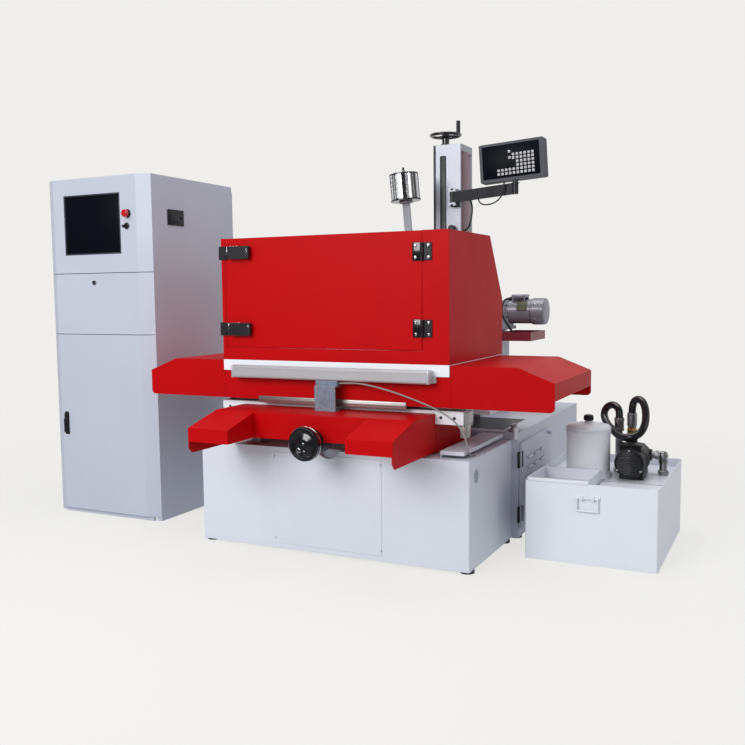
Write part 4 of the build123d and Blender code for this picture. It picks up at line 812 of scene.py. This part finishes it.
# %% Pump motor, cowl and fins
bm = bmesh.new()
turned(bm, (1174, 700, 385), front,
       [(60, 0), (65.5, 0), (65.5, 58), (62, 66), (57, 69), (0, 69), (0, 68), (55, 60), (60, 0)],
       56)
finish_piece("pump_cowl", bm, [paint["pump_black"]], "base")
bm = bmesh.new()
for row in range(-6, 7):
    z = 385 + row * 7.6
    half = math.sqrt(max(52 ** 2 - (row * 7.6) ** 2, 1))
    plate(bm, (1174 - half, 1174 + half), (629.5, 632), (z - 1.7, z + 1.7), 0.7)
finish_piece("pump_cowl_slats", bm, [paint["black_gloss"]], "base")
bm = bmesh.new()
for angle in (90, 210, 330):
    screw(bm, (1174 + 58 * math.cos(math.radians(angle)), 631,
               385 + 58 * math.sin(math.radians(angle))), front, 4)
finish_piece("pump_cowl_screws", bm, [paint["chrome_steel"]], "base")
bm = bmesh.new()
for step in range(-7, 8):
    for side in (-1, 1):
        z = 385 + step * 7
        reach = math.sqrt(max(68 ** 2 - (step * 7) ** 2, 1))
        inner = math.sqrt(max(60 ** 2 - (step * 7) ** 2, 1))
        ends = sorted((1174 + side * inner, 1174 + side * reach))
        plate(bm, ends, (702, 796), (z - 1.3, z + 1.3), 0.5, 1)
finish_piece("pump_fins", bm, [paint["pump_black"]], "base")
bm = bmesh.new()
plate(bm, (1124, 1224), (668, 750), (458, 464.5), 2.5, 3)
finish_piece("pump_terminal_lid", bm, [paint["pump_black"]], "base")
bm = bmesh.new()
for x in (1130, 1218):
    for y in (674, 744):
        screw(bm, (x, y, 464), top, 3.0)
for x, y, z in ((1149, 850, 470), (1290, 850, 312), (1092, 845, 312)):
    turned(bm, (x, y, z), top, [(17, 0), (26, 0), (26, 12), (22, 15), (17, 15), (17, 0)], 6)
finish_piece("pump_nuts", bm, [paint["plated_pipe"]], "base")
bm = bmesh.new()
turned(bm, (1149, 850, 486), top, [(17, 0), (23, 0), (24, 2), (24, 26), (22, 29), (20, 31),
                                   (20, 38), (17, 38), (17, 0)], 6)
finish_piece("brass_nut", bm, [brass], "base")
bm = bmesh.new()
sleeve = [(17.5, 0), (21.5, 0)]
for ridge in range(9):
    sleeve += [(23, 2 + ridge * 6), (23, 5 + ridge * 6), (21.2, 6 + ridge * 6),
               (21.2, 7.4 + ridge * 6)]
sleeve += [(22, 58), (21, 60), (17.5, 60), (17.5, 0)]
turned(bm, (1149, 850, 525), top, sleeve, 40)
turned(bm, (1092, 845, 500), top, [(16.5, 0), (23, 1), (23, 12), (21.5, 13), (21.5, 44), (23, 46),
                                   (23, 56), (21, 60), (17.3, 60), (16.5, 0)], 40)
finish_piece("hose_ferrules", bm, [paint["plated_pipe"]], "base")
bm = bmesh.new()
turned(bm, (1262, 850, 395), right_side, [(16.6, -6), (22, -6), (22, 8), (16.6, 8), (16.6, -6)], 8)
turned(bm, (1290, 850, 360), top, [(16.6, 0), (22, 0), (22, 14), (16.6, 14), (16.6, 0)], 8)
finish_piece("elbow_collars", bm, [paint["plated_pipe"]], "base")
print("pump made")

# %% Tank fittings
bm = bmesh.new()
for x, y, tall in ((830, 640, 28), (850, 690, 22), (880, 622, 34)):
    turned(bm, (x, y, 305), top, [(0, 0), (9, 0), (9, 5), (5, 7), (5, tall - 8), (10, tall - 6),
                                  (10, tall), (0, tall)], 20)
    plate(bm, (x - 4, x + 22), (y - 4, y + 4), (305 + tall - 6, 305 + tall + 1), 1.5)
finish_piece("small_valves", bm, [paint["white_paint"]], "base")
bm = bmesh.new()
plate(bm, (805, 1062), (333, 352), (340, 357), 4, 3)
plate(bm, (800, 814), (338, 600), (346, 358), 3, 3)
finish_piece("basin_lip", bm, [paint["tank_paint"]], "base")
bm = bmesh.new()
for x in ((1064, 1067), (1336, 1338)):
    plate(bm, x, (345, 1068), (305, 307), 0.6)
plate(bm, (800, 1338), (612, 615), (305, 307), 0.6)
finish_piece("deck_seams", bm, [deck_steel], "base")
bm = bmesh.new()
plate(bm, (1004, 1113), (333, 338.3), (282, 298), 2.5, 3)
finish_piece("bail_bracket", bm, [paint["tank_paint"]], "base")
print("tank made")

# %% [markdown]
# The service door on the rear base has rows of pressed louvres. Where bed and
# base meet, a small manifold, a white elbow and a grey conduit feed the table.

# %% Louvres and manifold
bm = bmesh.new()
for column in (690, 800, 910):
    for row in range(3):
        z = 270 + row * 48
        plate(bm, (700, 706), (column, column + 78), (z, z + 13), 5, 3)
finish_piece("door_louvres", bm, [paint["cream_paint"]], "service_door")
bm = bmesh.new()
for z in (125, 380):
    plate(bm, (689.5, 699.5), (560, 583), (z - 37, z + 37), 1.5)
finish_piece("service_hinge_leaves", bm, [paint["black_plastic"]], "base")
bm = bmesh.new()
for z in (125, 380):
    plate(bm, (700.5, 704), (593, 614), (z - 37, z + 37), 1.2)
turned(bm, (701, 1068, 438), right_side, [(0, 0), (11, 0), (11, 6), (9, 9), (0, 9)], 24)
finish_piece("service_door_fittings", bm, [paint["black_plastic"]], "service_door")
# A thin black sheet on the rear base's top, under the table behind the saddle, is painted shade where
# the table's shadow falls.
bm = bmesh.new()
plate(bm, (-640, 600), (640, 1000), (505, 505.8))
finish_piece("rear_base_painted_shade", bm, [paint["black_plastic"]], "base")
bm = bmesh.new()
for x in (-262, 262):
    for z in (57, 426):
        screw(bm, (x, 0, z), front, 6)
finish_piece("bed_panel_screws", bm, [paint["dark_steel"]], "base")
bm = bmesh.new()
plate(bm, (640, 676), (578, 640), (505, 520), 2)
for y in (590, 610, 628):
    turned(bm, (658, y, 520), top, [(0, 0), (7, 0), (7, 10), (10, 12), (10, 20), (0, 20)], 16)
finish_piece("manifold", bm, [paint["plated_pipe"]], "base")
bm = bmesh.new()
turned(bm, (680, 566, 474), top, [(5, 0), (9, 0), (9, 46), (5, 46), (5, 0)], 20)
turned(bm, (680, 566, 516), top, [(0, 0), (12, 0), (12, 14), (0, 14)], 20)
finish_piece("white_elbow", bm, [paint["white_paint"]], "base")
print("base dressed")

# %% [markdown]
# The studio: an even background and a nearly clear floor that keeps only faint
# shadows, one large soft light from the front left, a much weaker one from the
# right and one from above. Mirrored surfaces see a dark room before the machine.

# %% Floor, background and lights
bm = bmesh.new()
bmesh.ops.create_circle(bm, cap_ends=True, segments=96, radius=9.0)
bmesh.ops.translate(bm, verts=bm.verts, vec=(0, 0, -0.0005))
floor_mesh = bpy.data.meshes.new("floor")
bm.to_mesh(floor_mesh)
bm.free()
floor = bpy.data.objects.new("floor", floor_mesh)
bpy.context.scene.collection.objects.link(floor)
floor_material = bpy.data.materials.new("studio_floor")
floor_material.use_nodes = True
n, link = floor_material.node_tree.nodes, floor_material.node_tree.links
shader = n["Principled BSDF"]
shader.inputs["Base Color"].default_value = (0.92, 0.915, 0.90, 1)
shader.inputs["Roughness"].default_value = 0.6
shader.inputs["Specular IOR Level"].default_value = 0.15
distance = n.new("ShaderNodeVectorMath")
distance.operation = "LENGTH"
link.new(n.new("ShaderNodeTexCoord").outputs["Object"], distance.inputs[0])
fade = n.new("ShaderNodeMapRange")
fade.interpolation_type = "SMOOTHSTEP"
fade.inputs["From Min"].default_value = 1.6
fade.inputs["From Max"].default_value = 4.2
fade.inputs["To Min"].default_value = 0.8
link.new(distance.outputs["Value"], fade.inputs["Value"])
clear = n.new("ShaderNodeBsdfTransparent")
blend_out = n.new("ShaderNodeMixShader")
link.new(fade.outputs[0], blend_out.inputs["Fac"])
link.new(shader.outputs[0], blend_out.inputs[1])
link.new(clear.outputs[0], blend_out.inputs[2])
link.new(blend_out.outputs[0], n["Material Output"].inputs["Surface"])
floor_mesh.materials.append(floor_material)

world = bpy.data.worlds.new("studio")
bpy.context.scene.world = world
world.use_nodes = True
n, link = world.node_tree.nodes, world.node_tree.links
seen = n["Background"]
seen.inputs["Color"].default_value = (0.863, 0.855, 0.840, 1)
seen.inputs["Strength"].default_value = 1.0
lighting = n.new("ShaderNodeBackground")
lighting.inputs["Color"].default_value = (0.86, 0.88, 0.92, 1)
lighting.inputs["Strength"].default_value = 0.55
# Glossy surfaces mirror a dark room in front of the machine and a bright wall behind it.
split = n.new("ShaderNodeSeparateXYZ")
link.new(n.new("ShaderNodeTexCoord").outputs["Generated"], split.inputs[0])
room = n.new("ShaderNodeMapRange")
for title, value in (("From Min", -0.3), ("From Max", 0.6), ("To Min", 0.07), ("To Max", 0.85)):
    room.inputs[title].default_value = value
link.new(split.outputs["Y"], room.inputs["Value"])
mirrored = n.new("ShaderNodeBackground")
link.new(room.outputs[0], mirrored.inputs["Strength"])
indirect = n.new("ShaderNodeMixShader")
path = n.new("ShaderNodeLightPath").outputs
link.new(path["Is Glossy Ray"], indirect.inputs["Fac"])
link.new(lighting.outputs[0], indirect.inputs[1])
link.new(mirrored.outputs[0], indirect.inputs[2])
pick = n.new("ShaderNodeMixShader")
link.new(path["Is Camera Ray"], pick.inputs["Fac"])
link.new(indirect.outputs[0], pick.inputs[1])
link.new(seen.outputs[0], pick.inputs[2])
link.new(pick.outputs[0], n["World Output"].inputs["Surface"])


def soft_light(name, place, aim, size, power, colour=(1, 1, 1)):
    """A square area light that looks at a point."""
    data = bpy.data.lights.new(name, "AREA")
    data.shape = "RECTANGLE"
    data.size, data.size_y = size
    data.energy = power
    data.color = colour
    item = bpy.data.objects.new(name, data)
    bpy.context.scene.collection.objects.link(item)
    look = (Vector(aim) - Vector(place)).to_track_quat("-Z", "Y")
    item.matrix_world = Matrix.LocRotScale(Vector(place), look, None)


soft_light("front_light", (-1.0, -5.3, 3.0), (0.2, 0, 0.8), (3.4, 2.6), 195)
soft_light("right_light", (5.2, -1.8, 2.4), (0.2, 0, 0.9), (2.2, 2.6), 22, (1.0, 0.98, 0.97))
soft_light("top_light", (0.0, 0.2, 5.4), (0, 0, 0.5), (4.0, 3.0), 110)
print("lights:", [light.name for light in bpy.data.lights])
